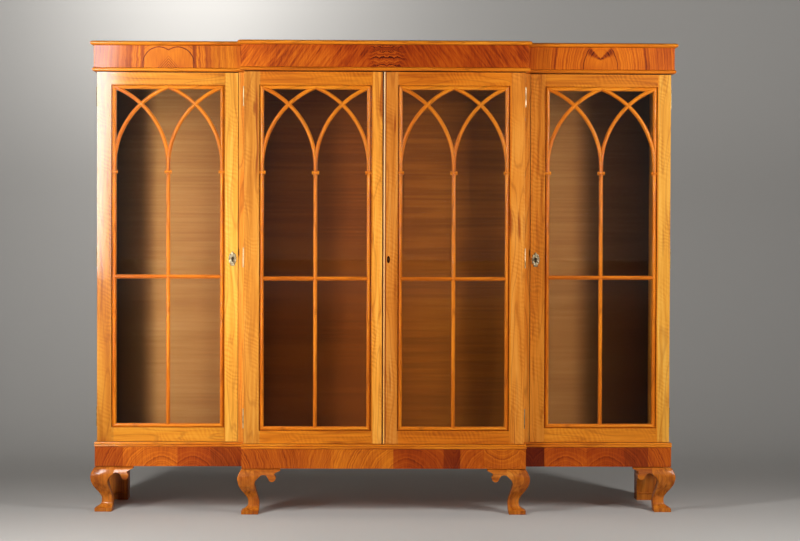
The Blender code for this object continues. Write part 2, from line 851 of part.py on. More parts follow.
def make_lock(door, door_empty):
    body = cut(lock_block(door, 0), bolt_block(door, seat_gap), keyhole(door))
    publish(door.name + "_lock", on_side(body, door.side), "brass", parent=door_empty)
    bolt_empty = joint_empty(door.name + "_lock_bolt_slide",
                             (-door.side * free_edge(door), bolt_middle, bolt_level), door_empty)
    bolt = bolt_block(door, 0)
    bmesh.ops.translate(bolt, vec=(-free_edge(door), -bolt_middle, -bolt_level), verts=bolt.verts)
    publish(door.name + "_lock_bolt", on_side(bolt, door.side), "brass", parent=bolt_empty)


def make_escutcheon(door, door_empty):
    # A leafy oval: an ellipse drawn in between its lobes
    x = free_edge(door) - keyhole_backset
    outline = []
    for step in range(escutcheon_points):
        angle = math.tau * step / escutcheon_points
        swell = 1 - escutcheon_lobe_share * (1 - math.cos(escutcheon_lobes * angle)) / 2
        outline.append((x + escutcheon_width / 2 * swell * math.cos(angle), door_face - seat_gap,
                        keyhole_height + escutcheon_height / 2 * swell * math.sin(angle)))
    plate = cut(prism(outline, (0, -escutcheon_thickness, 0)), keyhole(door))
    publish(door.name + "_escutcheon", on_side(plate, door.side), "brass", parent=door_empty)


def make_door(door):
    pin = (door.side * (door.outside + pin_out), door.edge - door_back_gap / 2)
    door_empty = joint_empty(door.name + "_door_hinge_line", (pin[0], pin[1], 0))
    make_hinges(door, pin, door_empty)
    make_frame(door, door_empty)
    make_glazing(door, door_empty)
    if door.name != "centre_left":
        make_lock(door, door_empty)
    if door.outside == case_half:
        make_escutcheon(door, door_empty)


for item in list(bpy.data.objects):
    bpy.data.objects.remove(item)

make_top_board()
make_bottom_board()
make_frieze()
make_skirt()
make_end_panels()
make_partitions()
make_back_panel()
make_feet()
for one_door in doors:
    make_door(one_door)
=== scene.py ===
# Looks of the walnut breakfront bookcase: a studio, its finishes and its finely shaped pieces.
# Metres, +Z up, the doors face -Y. The grain of each board is set out in real widths.

import json
import math

import bmesh
import bpy
import numpy as np
from mathutils import Matrix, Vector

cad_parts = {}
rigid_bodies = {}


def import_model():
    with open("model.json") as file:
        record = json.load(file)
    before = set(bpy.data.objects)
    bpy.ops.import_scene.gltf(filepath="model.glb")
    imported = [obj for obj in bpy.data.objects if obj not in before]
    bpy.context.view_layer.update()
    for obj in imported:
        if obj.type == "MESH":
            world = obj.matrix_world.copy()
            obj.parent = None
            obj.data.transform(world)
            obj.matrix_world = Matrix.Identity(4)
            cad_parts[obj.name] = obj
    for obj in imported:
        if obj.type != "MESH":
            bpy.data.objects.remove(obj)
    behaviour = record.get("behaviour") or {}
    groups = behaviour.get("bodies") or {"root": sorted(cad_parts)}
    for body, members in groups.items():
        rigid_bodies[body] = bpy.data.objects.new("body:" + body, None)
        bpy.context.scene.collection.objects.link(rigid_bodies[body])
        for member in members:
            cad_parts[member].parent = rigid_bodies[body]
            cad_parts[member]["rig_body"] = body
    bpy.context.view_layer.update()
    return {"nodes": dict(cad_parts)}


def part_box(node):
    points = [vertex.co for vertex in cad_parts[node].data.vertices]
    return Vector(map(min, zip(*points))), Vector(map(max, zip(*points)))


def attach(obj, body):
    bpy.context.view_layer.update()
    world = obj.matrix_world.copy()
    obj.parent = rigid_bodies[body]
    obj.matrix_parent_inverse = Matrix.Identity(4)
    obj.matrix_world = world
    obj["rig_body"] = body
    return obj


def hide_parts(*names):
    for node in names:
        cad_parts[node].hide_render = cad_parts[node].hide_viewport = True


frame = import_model()
mm = 0.001

# the levels and planes of the case that the finishes and the new pieces follow
case = {
    "backPlane": 0.21525,
    "wingEdge": -0.10975,
    "wingFace": -0.13225,
    "centreFace": -0.19425,
    "caseHalf": 0.945,
    "centreHalf": 0.4585,
    "doorHigh": 1.4475,
    "friezeLow": 1.4613,
    "friezeHigh": 1.5337,
    "skirtLow": 0.1503,
    "skirtHigh": 0.2140,
}

# middle and half width of the glazed opening of each door
openings = {
    "left_wing": (-0.71225, 0.18575),
    "centre_left": (-0.226, 0.183),
    "centre_right": (0.226, 0.183),
    "right_wing": (0.71575, 0.18575),
}


def hexToLinear(code):
    # an sRGB hex colour as the linear colour that a shader works in
    values = np.array([int(code[i:i + 2], 16) for i in (1, 3, 5)]) / 255
    linear = np.where(values <= 0.04045, values / 12.92, ((values + 0.055) / 1.055) ** 2.4)
    return (*[float(v) for v in linear], 1.0)


def addNode(tree, kind, settings):
    # a lower-case name is a property of the node, stops fill a colour ramp, and any other key
    # is an input, which takes a value, a hex colour or a link
    node = tree.nodes.new("ShaderNode" + kind)
    for key, value in settings.items():
        if isinstance(key, str) and key[0].islower() and key != "stops":
            setattr(node, key, value)
    for key, value in settings.items():
        if key == "stops":
            ramp = node.color_ramp.elements
            while len(ramp) < len(value):
                ramp.new(0.5)
            for element, (place, code) in zip(ramp, value):
                element.position = place
                element.color = hexToLinear(code)
        elif isinstance(key, int) or key[0].isupper():
            socket = node.inputs[key]
            if isinstance(value, bpy.types.NodeSocket):
                tree.links.new(value, socket)
            elif isinstance(value, str):
                socket.default_value = hexToLinear(value)
            else:
                socket.default_value = value
    return node


def newMaterial(name):
    made = bpy.data.materials.new(name)
    made.use_nodes = True
    tree = made.node_tree
    shader = tree.nodes["Principled BSDF"]
    return made, tree, shader


def setInputs(shader, settings):
    # like the inputs of addNode, for a node that is already there
    for key, value in settings.items():
        if isinstance(value, bpy.types.NodeSocket):
            shader.id_data.links.new(value, shader.inputs[key])
        elif isinstance(value, str):
            shader.inputs[key].default_value = hexToLinear(value)
        else:
            shader.inputs[key].default_value = value


# Steps of a shader: each adds nodes, takes numbers, hex colours or links, and gives its result

def sums(tree, kind, *given):
    return addNode(tree, "Math", {"operation": kind, **dict(enumerate(given))}).outputs[0]


def vectors(tree, kind, *given):
    node = addNode(tree, "VectorMath", {"operation": kind, **dict(enumerate(given))})
    return node.outputs["Value" if kind in ("LENGTH", "DOT_PRODUCT") else "Vector"]


def apart(tree, place):
    # the three sides of a place
    return addNode(tree, "SeparateXYZ", {0: place}).outputs


def together(tree, x, y, z):
    return addNode(tree, "CombineXYZ", {0: x, 1: y, 2: z}).outputs[0]


def distance(tree, place, centre, shape):
    # how far a place is from the centre, each side of that first times its number of the shape
    way = vectors(tree, "MULTIPLY", vectors(tree, "SUBTRACT", place, centre), shape)
    return vectors(tree, "LENGTH", way)


def between(tree, value, low, high, toLow=0.0, toHigh=1.0, join="LINEAR"):
    # goes from toLow to toHigh while the value goes from low to high, and stays there beyond
    return addNode(tree, "MapRange", {
        "interpolation_type": join, "Value": value, "From Min": low, "From Max": high,
        "To Min": toLow, "To Max": toHigh}).outputs[0]


def blend(tree, share, first, second):
    # the first number, or by its share the second
    return addNode(tree, "Mix", {0: share, 2: first, 3: second}).outputs[0]


def dye(tree, share, first, second, how="MIX"):
    # the first colour, with the second laid over it by its share
    return addNode(tree, "Mix", {"data_type": "RGBA", "blend_type": how, 0: share, 6: first,
                                 7: second}).outputs[2]


def noise(tree, place, scale, detail, **more):
    return addNode(tree, "TexNoise", {"Vector": place, "Scale": scale, "Detail": detail, **more}).outputs


def stretched(tree, place, perMetre, detail):
    # soft noise, with its own number of swells to the metre along each axis
    return noise(tree, vectors(tree, "MULTIPLY", place, perMetre), 1.0, detail)["Fac"]


def dented(tree, height, strength, depth):
    return addNode(tree, "Bump", {"Strength": strength, "Distance": depth, "Height": height}).outputs[0]


def overlaid(tree, output, share, first, second):
    # the output shows the first shader, or by its share the second
    both = addNode(tree, "MixShader", {0: share, 1: first, 2: second})
    tree.links.new(both.outputs[0], tree.nodes[output].inputs["Surface"])


def objectPlace(tree):
    return addNode(tree, "TexCoord", {}).outputs["Object"]


# Camera and studio

view = {
    "place": (-0.05875, -6.54163, 0.92083),
    "focalPixels": 1943.39,     # for a picture 800 wide
    "pitchDegrees": 1.101,
    "yawDegrees": -0.990,
    "rollDegrees": 0.194,
}

studio = {
    "cove": "#bdbab5",
    "coveWidth": 100.0,
    "coveFront": -60.0,        # so far that the paper fills the lower half of every reflection
    "coveBack": 2.6,
    "coveRadius": 1.2,
    "coveHeight": 5.0,
    # the left and right lamps stand near their own ends of the case, so that neither lights the
    # far wing's back
    # place, aim, width and height, watts, and how wide the light spreads in degrees
    "lamps": {
        "leftLamp": ((-1.20, -1.55, 1.30), (-0.55, -0.1, 0.88), (0.22, 1.14), 33, 180),
        "leftLow": ((-1.34, -1.55, 0.58), (-0.62, -0.1, 0.66), (0.18, 0.30), 0.8, 44),
        "rightLamp": ((1.70, -1.55, 1.40), (0.60, -0.1, 0.94), (0.29, 0.90), 30.5, 180),
        "frontFill": ((0, -5.2, 3.8), (0, 0, 0.9), (3.2, 1.6), 6, 180),
        # lights the far floor that the panes mirror, so that they carry an even grey veil
        "farFloor": ((0, -30, 14), (0, -30.01, 0), (12, 12), 230, 110),
        "backdropGlow": ((-0.82, 1.6, 2.33), (-0.82, 2.6, 1.88), (0.5, 0.3), 16, 170),
        "backdropLeft": ((-2.5, 0.5, 3.3), (-2.5, 2.6, 1.3), (1.6, 0.4), 3, 90),
        "backdropRight": ((1.9, 0.5, 3.3), (1.9, 2.6, 1.3), (3.0, 0.4), 6.5, 90),
    },
    "air": "#ccd6e6",
    "airStrength": 0.024,
    "room": "#5c5a57",         # what a camera, a mirror or a pane sees beyond the paper
}


def makeCamera():
    pitch, yaw, roll = [math.radians(view[k]) for k in ("pitchDegrees", "yawDegrees", "rollDegrees")]
    ahead = np.array([-math.sin(yaw), math.cos(yaw), 0.0])
    right = np.array([math.cos(yaw), math.sin(yaw), 0.0])
    upright = np.array([0.0, 0.0, 1.0])
    forward = ahead * math.cos(pitch) - upright * math.sin(pitch)
    up = upright * math.cos(pitch) + ahead * math.sin(pitch)
    axisX = right * math.cos(roll) + up * math.sin(roll)
    axisY = up * math.cos(roll) - right * math.sin(roll)
    lens = bpy.data.cameras.new("studioCamera")
    lens.sensor_width = 36
    lens.lens = 36 * view["focalPixels"] / 800
    camera = bpy.data.objects.new("studioCamera", lens)
    bpy.context.scene.collection.objects.link(camera)
    turned = np.stack([axisX, axisY, -forward], axis=1)
    camera.matrix_world = Matrix.Translation(view["place"]) @ Matrix(turned.tolist()).to_4x4()
    bpy.context.scene.camera = camera


def softBox(name, place, target, size, watts, spread):
    lamp = bpy.data.lights.new(name, "AREA")
    lamp.shape = "RECTANGLE"
    lamp.size, lamp.size_y = size
    lamp.energy = watts
    lamp.spread = math.radians(spread)
    item = bpy.data.objects.new(name, lamp)
    bpy.context.scene.collection.objects.link(item)
    aim = np.array(target) - np.array(place)
    aim = aim / np.linalg.norm(aim)
    side = np.cross(aim, (0, 0, 1))
    side = side / np.linalg.norm(side)
    turned = np.stack([side, np.cross(side, aim), -aim], axis=1)
    item.matrix_world = Matrix.Translation(place) @ Matrix(turned.tolist()).to_4x4()


def makeStudio():
    # the cove is a profile in depth and height, a quarter circle between floor and wall,
    # carried straight across
    s = studio
    turn = np.linspace(0, np.pi / 2, 17)
    bend = np.stack([s["coveBack"] - s["coveRadius"] + s["coveRadius"] * np.sin(turn),
                     s["coveRadius"] - s["coveRadius"] * np.cos(turn)], axis=1)
    line = np.vstack([[s["coveFront"], 0], bend, [s["coveBack"], s["coveHeight"]]])
    across = np.array([-1, 1]) * s["coveWidth"] / 2
    verts, faces = gridFaces(pointGrid(across, line[:, :1], line[:, 1:]), loopAround=False)
    mesh = bpy.data.meshes.new("studioCove")
    mesh.from_pydata(verts, [], faces)
    mesh.shade_smooth()
    cove = bpy.data.objects.new("studioCove", mesh)
    bpy.context.scene.collection.objects.link(cove)
    made, tree, shader = newMaterial("mattPaper")   # matt background paper, clear from behind
    setInputs(shader, {"Base Color": s["cove"], "Roughness": 0.9})
    behind = addNode(tree, "NewGeometry", {}).outputs["Backfacing"]
    clear = addNode(tree, "BsdfTransparent", {}).outputs[0]
    overlaid(tree, "Material Output", behind, shader.outputs[0], clear)
    mesh.materials.append(made)

    for name, settings in s["lamps"].items():
        softBox(name, *settings)
    world = bpy.data.worlds.new("studioAir")
    world.use_nodes = True
    tree = world.node_tree
    air = tree.nodes["Background"]
    air.inputs["Color"].default_value = hexToLinear(s["air"])
    air.inputs["Strength"].default_value = s["airStrength"]
    room = addNode(tree, "Background", {"Color": s["room"], "Strength": 1.0})
    rays = addNode(tree, "LightPath", {}).outputs
    seen = sums(tree, "MAXIMUM", rays["Is Camera Ray"], rays["Is Glossy Ray"])
    seen = sums(tree, "MAXIMUM", seen, rays["Is Transmission Ray"])
    overlaid(tree, "World Output", seen, air.outputs[0], room.outputs[0])
    bpy.context.scene.world = world
    bpy.context.scene.view_settings.view_transform = "Standard"


# Surfaces from grids of points

def pointGrid(x, y, z):
    # rows and columns of points; a side given for one row or one column counts for all
    return np.stack(np.broadcast_arrays(x, y, z), axis=-1)


def gridFaces(grid, loopAround=True, loopAlong=False):
    # grid[i, j] is the point at step i along and step j around; quads join neighbours, and a
    # closed section that doesn't run back into itself gets one flat face at each end
    along, around = grid.shape[:2]
    rows = along if loopAlong else along - 1
    columns = around if loopAround else around - 1
    i, j = np.meshgrid(np.arange(rows), np.arange(columns), indexing="ij")
    a = i * around + j
    b = i * around + (j + 1) % around
    c = (i + 1) % along * around + (j + 1) % around
    d = (i + 1) % along * around + j
    faces = np.stack([a, b, c, d], axis=-1).reshape(-1, 4).tolist()
    if loopAround and not loopAlong:
        faces.append(list(range(around))[::-1])
        faces.append(list(range((along - 1) * around, along * around)))
    return grid.reshape(-1, 3), faces


def makePiece(name, parts, material, sharpDegrees):
    # parts are (points, faces, grain), and grain runs (across, deep, along) in metres
    verts = np.vstack([part[0] for part in parts])
    grain = np.vstack([part[2] for part in parts])
    faces = []
    start = 0
    for points, own, _ in parts:
        faces += [[start + index for index in face] for face in own]
        start += len(points)
    mesh = bpy.data.meshes.new(name)
    mesh.from_pydata(verts, [], faces)
    layer = mesh.attributes.new("grain", "FLOAT_VECTOR", "POINT")
    layer.data.foreach_set("vector", grain.astype(np.float32).ravel())
    shell = bmesh.new()
    shell.from_mesh(mesh)
    bmesh.ops.recalc_face_normals(shell, faces=shell.faces)
    shell.to_mesh(mesh)
    shell.free()
    mesh.shade_smooth()
    mesh.set_sharp_from_angle(angle=math.radians(sharpDegrees))
    mesh.materials.append(material)
    piece = bpy.data.objects.new(name, mesh)
    bpy.context.scene.collection.objects.link(piece)
    return piece


def addArris(piece, width, degrees):
    # rounds every edge that turns by more than the degrees
    edge = piece.modifiers.new("arris", "BEVEL")
    edge.width = width
    edge.segments = 2
    edge.limit_method = "ANGLE"
    edge.angle_limit = math.radians(degrees)
    return edge


def softened(node, width, material):
    # a copy of a CAD board with its arrises eased: doubles merged, flat faces joined, bevelled
    source = frame["nodes"][node]
    shell = bmesh.new()
    shell.from_mesh(source.data)
    bmesh.ops.remove_doubles(shell, verts=shell.verts, dist=1e-5)
    bmesh.ops.dissolve_limit(shell, angle_limit=math.radians(0.5), verts=shell.verts, edges=shell.edges)
    mesh = bpy.data.meshes.new(node + "_eased")
    shell.to_mesh(mesh)
    shell.free()
    piece = bpy.data.objects.new(node + "_eased", mesh)
    bpy.context.scene.collection.objects.link(piece)
    addArris(piece, width, 30)
    mesh.shade_flat()
    mesh.materials.clear()
    mesh.materials.append(material)
    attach(piece, source["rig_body"])
    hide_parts(node)
    return piece


# Finishes of wood. Every one is varnished walnut: coloured bands of growth, fine dark pores, and
# a gloss coat over them. A grain function gives (across, deep, along) in metres.

def uprightGrain(tree):
    # grain runs up the board
    return objectPlace(tree)


def besideFace(tree):
    # a spot's place, how far it lies along a moulding, how deep and how high: along X on faces
    # that look forward, along Y on faces that look to the side
    spots = addNode(tree, "TexCoord", {}).outputs
    x, y, z = apart(tree, spots["Object"])
    facing = apart(tree, spots["Normal"])[0]
    sideways = sums(tree, "GREATER_THAN", sums(tree, "ABSOLUTE", facing), 0.7)
    return spots["Object"], blend(tree, sideways, x, y), blend(tree, sideways, y, x), z


def runGrain(tree):
    # grain runs along the length of a moulding
    _, run, deep, up = besideFace(tree)
    return together(tree, up, deep, run)


def ownGrain(tree):
    # grain follows the piece, along its own attribute
    return addNode(tree, "Attribute", {"attribute_name": "grain"}).outputs["Vector"]


def doorGrain(tree):
    # up the stiles of a door and across its rails, which are anywhere across its opening
    upright = objectPlace(tree)
    x, y, z = apart(tree, upright)
    rail = 0.0
    for middle, half in openings.values():
        rail = sums(tree, "MAXIMUM", rail, sums(tree, "COMPARE", x, middle, half))
    level = together(tree, z, y, x)
    return addNode(tree, "Mix", {"data_type": "VECTOR", 0: rail, 4: upright, 5: level}).outputs[1]


walnut = {
    "bands": [(0.30, "#984c0e"), (0.42, "#c4701c"), (0.51, "#d98426"), (0.60, "#e69936"), (0.72, "#eeae50")],
    "bandWidth": 12 * mm,
    "bandRun": 380 * mm,
    "bandShare": 0.50,
    "toneWidth": 70 * mm,
    "toneRun": 570 * mm,
    "toneShare": 0.37,
    "poreWidth": 2.6 * mm,     # real pores are 0.2 mm, too fine to show, so they are drawn coarser
    "poreRun": 50 * mm,
    "poreShare": 0.13,
    "bends": (9, 9, 2.2),      # of the grain, to the metre
    "bendReach": (0.045, 0.045, 0.0),
    "ripple": 14 * mm,         # slants across the board, wanders, and comes and goes in patches
    "rippleShare": 0.020,
    "rippleSlant": 0.45,
    "rippleWander": 17.0,
    "wanderSize": 50 * mm,
    "patchWidth": 60 * mm,
    "patchRun": 130 * mm,
    "patchRange": (0.44, 0.62),
    "streak": "#5a2206",
    "streakWidth": 19.2 * mm,
    "streakRun": 532 * mm,
    "streakLevel": 0.66,
    "streakFade": 0.09,
    "streakShare": 0.6,
    "veinWidth": 55 * mm,      # thin dark lines, nested like the contours of a long hill
    "veinRun": 620 * mm,
    "veinStep": 0.055,
    "veinFade": (0.015, 0.003),
    "veinShare": 0.30,
    "knots": [],               # crowded dark grain: where across and up the case, and its reach
    "knotShift": 0.022,        # the bends carry the grain this far sideways
    "knotShape": (3.0, 0, 1.0),
    "knotCore": 0.2,
    "knotPull": 0.17,
    "tones": [],
    "keyholeShadows": [],            # a painted shadow of the hole's depth: the wood round a keyhole made black
    "keyholeShape": (1.3, 0, 0.6),
    "keyholeFade": (7.5 * mm, 6.5 * mm),
    "keyholeShadowColour": "#120a06",
    "meeting": None,
    "roughness": 0.50,
    "coat": 0.5,
    "poreDent": 0.10,
}
caseWood = dict(walnut, rippleShare=0.01)
edgeWood = dict(walnut, bands=[(0.30, "#a04c06"), (0.44, "#c8680e"), (0.56, "#dc8018"), (0.70, "#e89428")],
                rippleShare=0.01, streakShare=0.3, roughness=0.46, coat=0.3)
footWood = dict(walnut, bands=[(0.28, "#642808"), (0.42, "#9c4c0e"), (0.55, "#c06a1a"), (0.72, "#d88a30")],
                coat=0.3)
doorWood = dict(
    walnut,
    bands=[(0.28, "#b0661a"), (0.41, "#d98c2a"), (0.51, "#eda338"), (0.60, "#f6b247"), (0.72, "#fbc25c")],
    rippleShare=0.045, veinShare=0.26, streak="#8c2a02", streakShare=0.7,
    knots=[(-0.016, 1.345, 0.085), (0.020, 1.300, 0.110), (-0.435, 1.33, 0.05), (0.925, 0.62, 0.05),
           (0.505, 0.60, 0.09), (0.432, 0.95, 0.10)],
    keyholeShadows=[(-0.4995, 0.8335), (0.4995, 0.8335), (0.0130, 0.8345)],
    # each board has a tone of its own, some lighter and some darker: where each starts across the
    # case, and its tone. A stile and the rails next to it never share a place across.
    tones=[(-1.0, "#d0bc98"), (-0.898, "#e1cb90"), (-0.5265, "#f9ffff"), (-0.47, "#dccfcc"),
           (-0.409, "#e6c278"), (-0.043, "#fff3f0"), (-0.004, "#dcbeb4"), (0.043, "#e2b66c"),
           (0.409, "#eacfc3"), (0.47, "#f4d8bd"), (0.530, "#e6c88c"), (0.9015, "#ecebe6")],
    # where the centre doors meet, a pale line stands in for the highlight on the bead, which
    # grows toward the top, and dark ones for the shadows beside it and along the door tops
    meeting={
        "bead": (-0.8 * mm, 2.1 * mm),       # middle and half width
        "paintedHighlight": "#ffdca4",
        "highlightHeights": (0.30, 1.40),
        "highlightShares": (0.05, 0.70),
        "deep": 3 * mm,                      # the lines end this far behind the doors' face
        "shadowLines": [(-5.6 * mm, 2.3 * mm, "#2a0a04"), (3.9 * mm, 1.3 * mm, "#7c2608")],
        "topHigh": 1.6 * mm,
        "topShadow": "#260c06",
    },
)
# the insides of the bays are darkened, partly by a dark stain and partly by painted shade
bays = {
    "stainAndShade": "#5c3a24",
    "endThick": 22.2 * mm,     # how far in the outer boards reach, which stay plain
    "gap": 0.1 * mm,           # keeps the front edges of the boards plain
    "low": 0.2297,
    "high": 1.5350,
}
# what all the varnished finishes share
varnish = {"IOR": 1.5, "Specular IOR Level": 0.10, "Coat Roughness": 0.12}


def tonedAlong(tree, colour, run, tones, join):
    # the colour times a tone that changes along the run, whose places are metres from the middle
    along = between(tree, run, -1.0, 1.0)
    stops = [((place + 1) / 2, code) for place, code in tones]
    tone = addNode(tree, "ValToRGB", {0: along, "stops": stops})
    tone.color_ramp.interpolation = join
    return dye(tree, 1.0, colour, tone.outputs["Color"], "MULTIPLY")


def insideMask(tree):
    # 1 on the surfaces that look into the bays
    x, y, z = apart(tree, objectPlace(tree))
    low, high = bays["low"], bays["high"]
    across = sums(tree, "LESS_THAN", sums(tree, "ABSOLUTE", x), case["caseHalf"] - bays["endThick"])
    deep = sums(tree, "GREATER_THAN", y, case["wingEdge"] + bays["gap"])
    level = sums(tree, "COMPARE", z, (low + high) / 2, (high - low) / 2)
    return sums(tree, "MULTIPLY", sums(tree, "MULTIPLY", across, deep), level)


def meetingEdge(tree, colour, look):
    # the painted highlight on the bead and the painted shadows beside it are only on the doors' front
    x, y, z = apart(tree, objectPlace(tree))
    inFront = sums(tree, "LESS_THAN", y, case["centreFace"] + look["deep"])
    onBead = sums(tree, "MULTIPLY", sums(tree, "COMPARE", x, *look["bead"]), inFront)
    paintedHighlight = between(tree, z, *look["highlightHeights"], *look["highlightShares"])
    colour = dye(tree, sums(tree, "MULTIPLY", onBead, paintedHighlight), colour, look["paintedHighlight"])
    # a painted shadow along the tops of the doors
    onTop = sums(tree, "GREATER_THAN", z, case["doorHigh"] - look["topHigh"])
    colour = dye(tree, onTop, colour, look["topShadow"])
    # painted shadow lines beside the bead
    for middle, half, dark in look["shadowLines"]:
        shadowLine = sums(tree, "MULTIPLY", sums(tree, "COMPARE", x, middle, half), inFront)
        colour = dye(tree, shadowLine, colour, dark)
    return colour


def varnishedWalnut(name, look, grain):
    # walnut planed with the grain and varnished: long growth bands from dark to amber, a ripple
    # across the grain, dark mineral streaks and pores, under a glossy coat
    made, tree, shader = newMaterial(name)
    place = grain(tree)
    bends = noise(tree, vectors(tree, "MULTIPLY", place, look["bends"]), 1.0, 2.0)["Color"]
    swayed = vectors(tree, "MULTIPLY_ADD", bends, look["bendReach"], place)

    def drawn(width, run, detail):
        return stretched(tree, swayed, (1 / width, 1 / width, 1 / run), detail)

    x, _, z = apart(tree, place)
    slant = sums(tree, "MULTIPLY_ADD", x, look["rippleSlant"], z)
    phase = sums(tree, "MULTIPLY", slant, math.tau / look["ripple"])
    wander = drawn(look["wanderSize"], look["wanderSize"], 1.0)
    wave = sums(tree, "SINE", sums(tree, "MULTIPLY_ADD", wander, look["rippleWander"], phase))
    strong = between(tree, drawn(look["patchWidth"], look["patchRun"], 1.0), *look["patchRange"])
    ripple = sums(tree, "MULTIPLY", wave, strong)
    tone = drawn(look["toneWidth"], look["toneRun"], 1.0)
    pores = drawn(look["poreWidth"], look["poreRun"], 2.0)
    total = sums(tree, "MULTIPLY", drawn(look["bandWidth"], look["bandRun"], 3.0), look["bandShare"])
    total = sums(tree, "MULTIPLY_ADD", tone, look["toneShare"], total)
    total = sums(tree, "MULTIPLY_ADD", pores, look["poreShare"], total)
    total = sums(tree, "MULTIPLY_ADD", ripple, look["rippleShare"], total)
    colour = addNode(tree, "ValToRGB", {0: total, "stops": look["bands"]}).outputs["Color"]

    level = look["streakLevel"]
    for across, up, reach in look["knots"]:
        # nearness to the knot, drawn out along the grain, lets more of the streaks through
        away = distance(tree, swayed, (across + look["knotShift"], 0, up), look["knotShape"])
        near = between(tree, away, reach, reach * look["knotCore"], 0.0, look["knotPull"], "SMOOTHSTEP")
        level = sums(tree, "SUBTRACT", level, near)
    over = sums(tree, "SUBTRACT", drawn(look["streakWidth"], look["streakRun"], 2.0), level)
    streak = between(tree, over, 0.0, look["streakFade"], 0.0, look["streakShare"])
    hill = sums(tree, "PINGPONG", drawn(look["veinWidth"], look["veinRun"], 1.0), look["veinStep"])
    vein = between(tree, hill, *look["veinFade"], 0.0, look["veinShare"])
    colour = dye(tree, sums(tree, "MAXIMUM", streak, vein), colour, look["streak"])

    # black painted round each keyhole, for the shade deep in the hole
    for across, up in look["keyholeShadows"]:
        away = distance(tree, objectPlace(tree), (across, 0, up), look["keyholeShape"])
        colour = dye(tree, between(tree, away, *look["keyholeFade"]), colour, look["keyholeShadowColour"])
    if look["tones"]:
        run = apart(tree, objectPlace(tree))[0]
        colour = tonedAlong(tree, colour, run, look["tones"], "CONSTANT")
    if look["meeting"]:
        colour = meetingEdge(tree, colour, look["meeting"])
    # the dark stain and the painted shade inside the bays
    if grain in (uprightGrain, runGrain):
        colour = dye(tree, insideMask(tree), colour, bays["stainAndShade"], "MULTIPLY")
    setInputs(shader, {"Base Color": colour, "Roughness": look["roughness"], "Coat Weight": look["coat"],
                       "Normal": dented(tree, pores, look["poreDent"], 0.2 * mm), **varnish})
    return made


# Veneers of the frieze and the skirt

plainLevel = 0.55              # level of the bands where a figure is calm
# both veneers are finer in the pores than the solid wood, and less glossy
veneer = {
    "roughness": 0.48,
    "coat": 0.24,
    "poreDent": 0.08,
    "pores": (420, 420, 26),   # to the metre along each axis
}


def veneerParts(tree, look, middle):
    # where a spot is along the run, how high, its place, and the pores there
    place, run, _, z = besideFace(tree)
    return run, sums(tree, "SUBTRACT", z, middle), place, stretched(tree, place, look["pores"], 2.0)


def ringLines(tree, across, up, leaf, shape):
    # nested lines round a point: distance, shaken by a soft noise, read through a noise that
    # varies along the distance alone, so that the lines are uneven but never cross
    flat = together(tree, across, up, leaf)
    wander = noise(tree, flat, shape["wanderScale"], 3.0)["Color"]
    moved = vectors(tree, "MULTIPLY_ADD", wander, (shape["wander"], shape["wander"], 0.0), flat)
    ring = distance(tree, moved, (*shape["centre"], 0.0), (*shape["spread"], 0.0))
    fine = sums(tree, "DIVIDE", ring, shape["lineWidth"])
    lines = noise(tree, together(tree, fine, leaf, 0.0), 1.0, 4.0, Roughness=0.65)["Fac"]
    # the lines grow stronger away from the middle, where the figure is calm
    start, end, weakest = shape["calm"]
    strength = between(tree, ring, start, end, weakest)
    return blend(tree, strength, plainLevel, lines), ring


def ringMarks(tree, ring, marks, reach):
    # strength of the drawn lines at a distance from the joint, which the marks give in mm
    share = between(tree, ring, 0.0, reach * mm)
    stops = [(at / reach, "#000000") for at, strength in marks]
    node = addNode(tree, "ValToRGB", {0: share, "stops": stops})
    for element, (at, strength) in zip(node.color_ramp.elements, marks):
        element.color = (strength, strength, strength, 1.0)
    return node.outputs["Color"]


def veneerShader(shader, tree, patterns, pores, run, look):
    # bands of growth, then the tone that drifts from one end of the run to the other
    total = 0.0
    for pattern, share in patterns:
        total = sums(tree, "MULTIPLY_ADD", pattern, share, total)
    colour = addNode(tree, "ValToRGB", {0: total, "stops": look["bands"]}).outputs["Color"]
    colour = tonedAlong(tree, colour, run, look["tones"], look["toneJoin"])
    setInputs(shader, {"Base Color": colour, "Roughness": look["roughness"], "Coat Weight": look["coat"],
                       "Normal": dented(tree, pores, look["poreDent"], 0.2 * mm), **varnish})


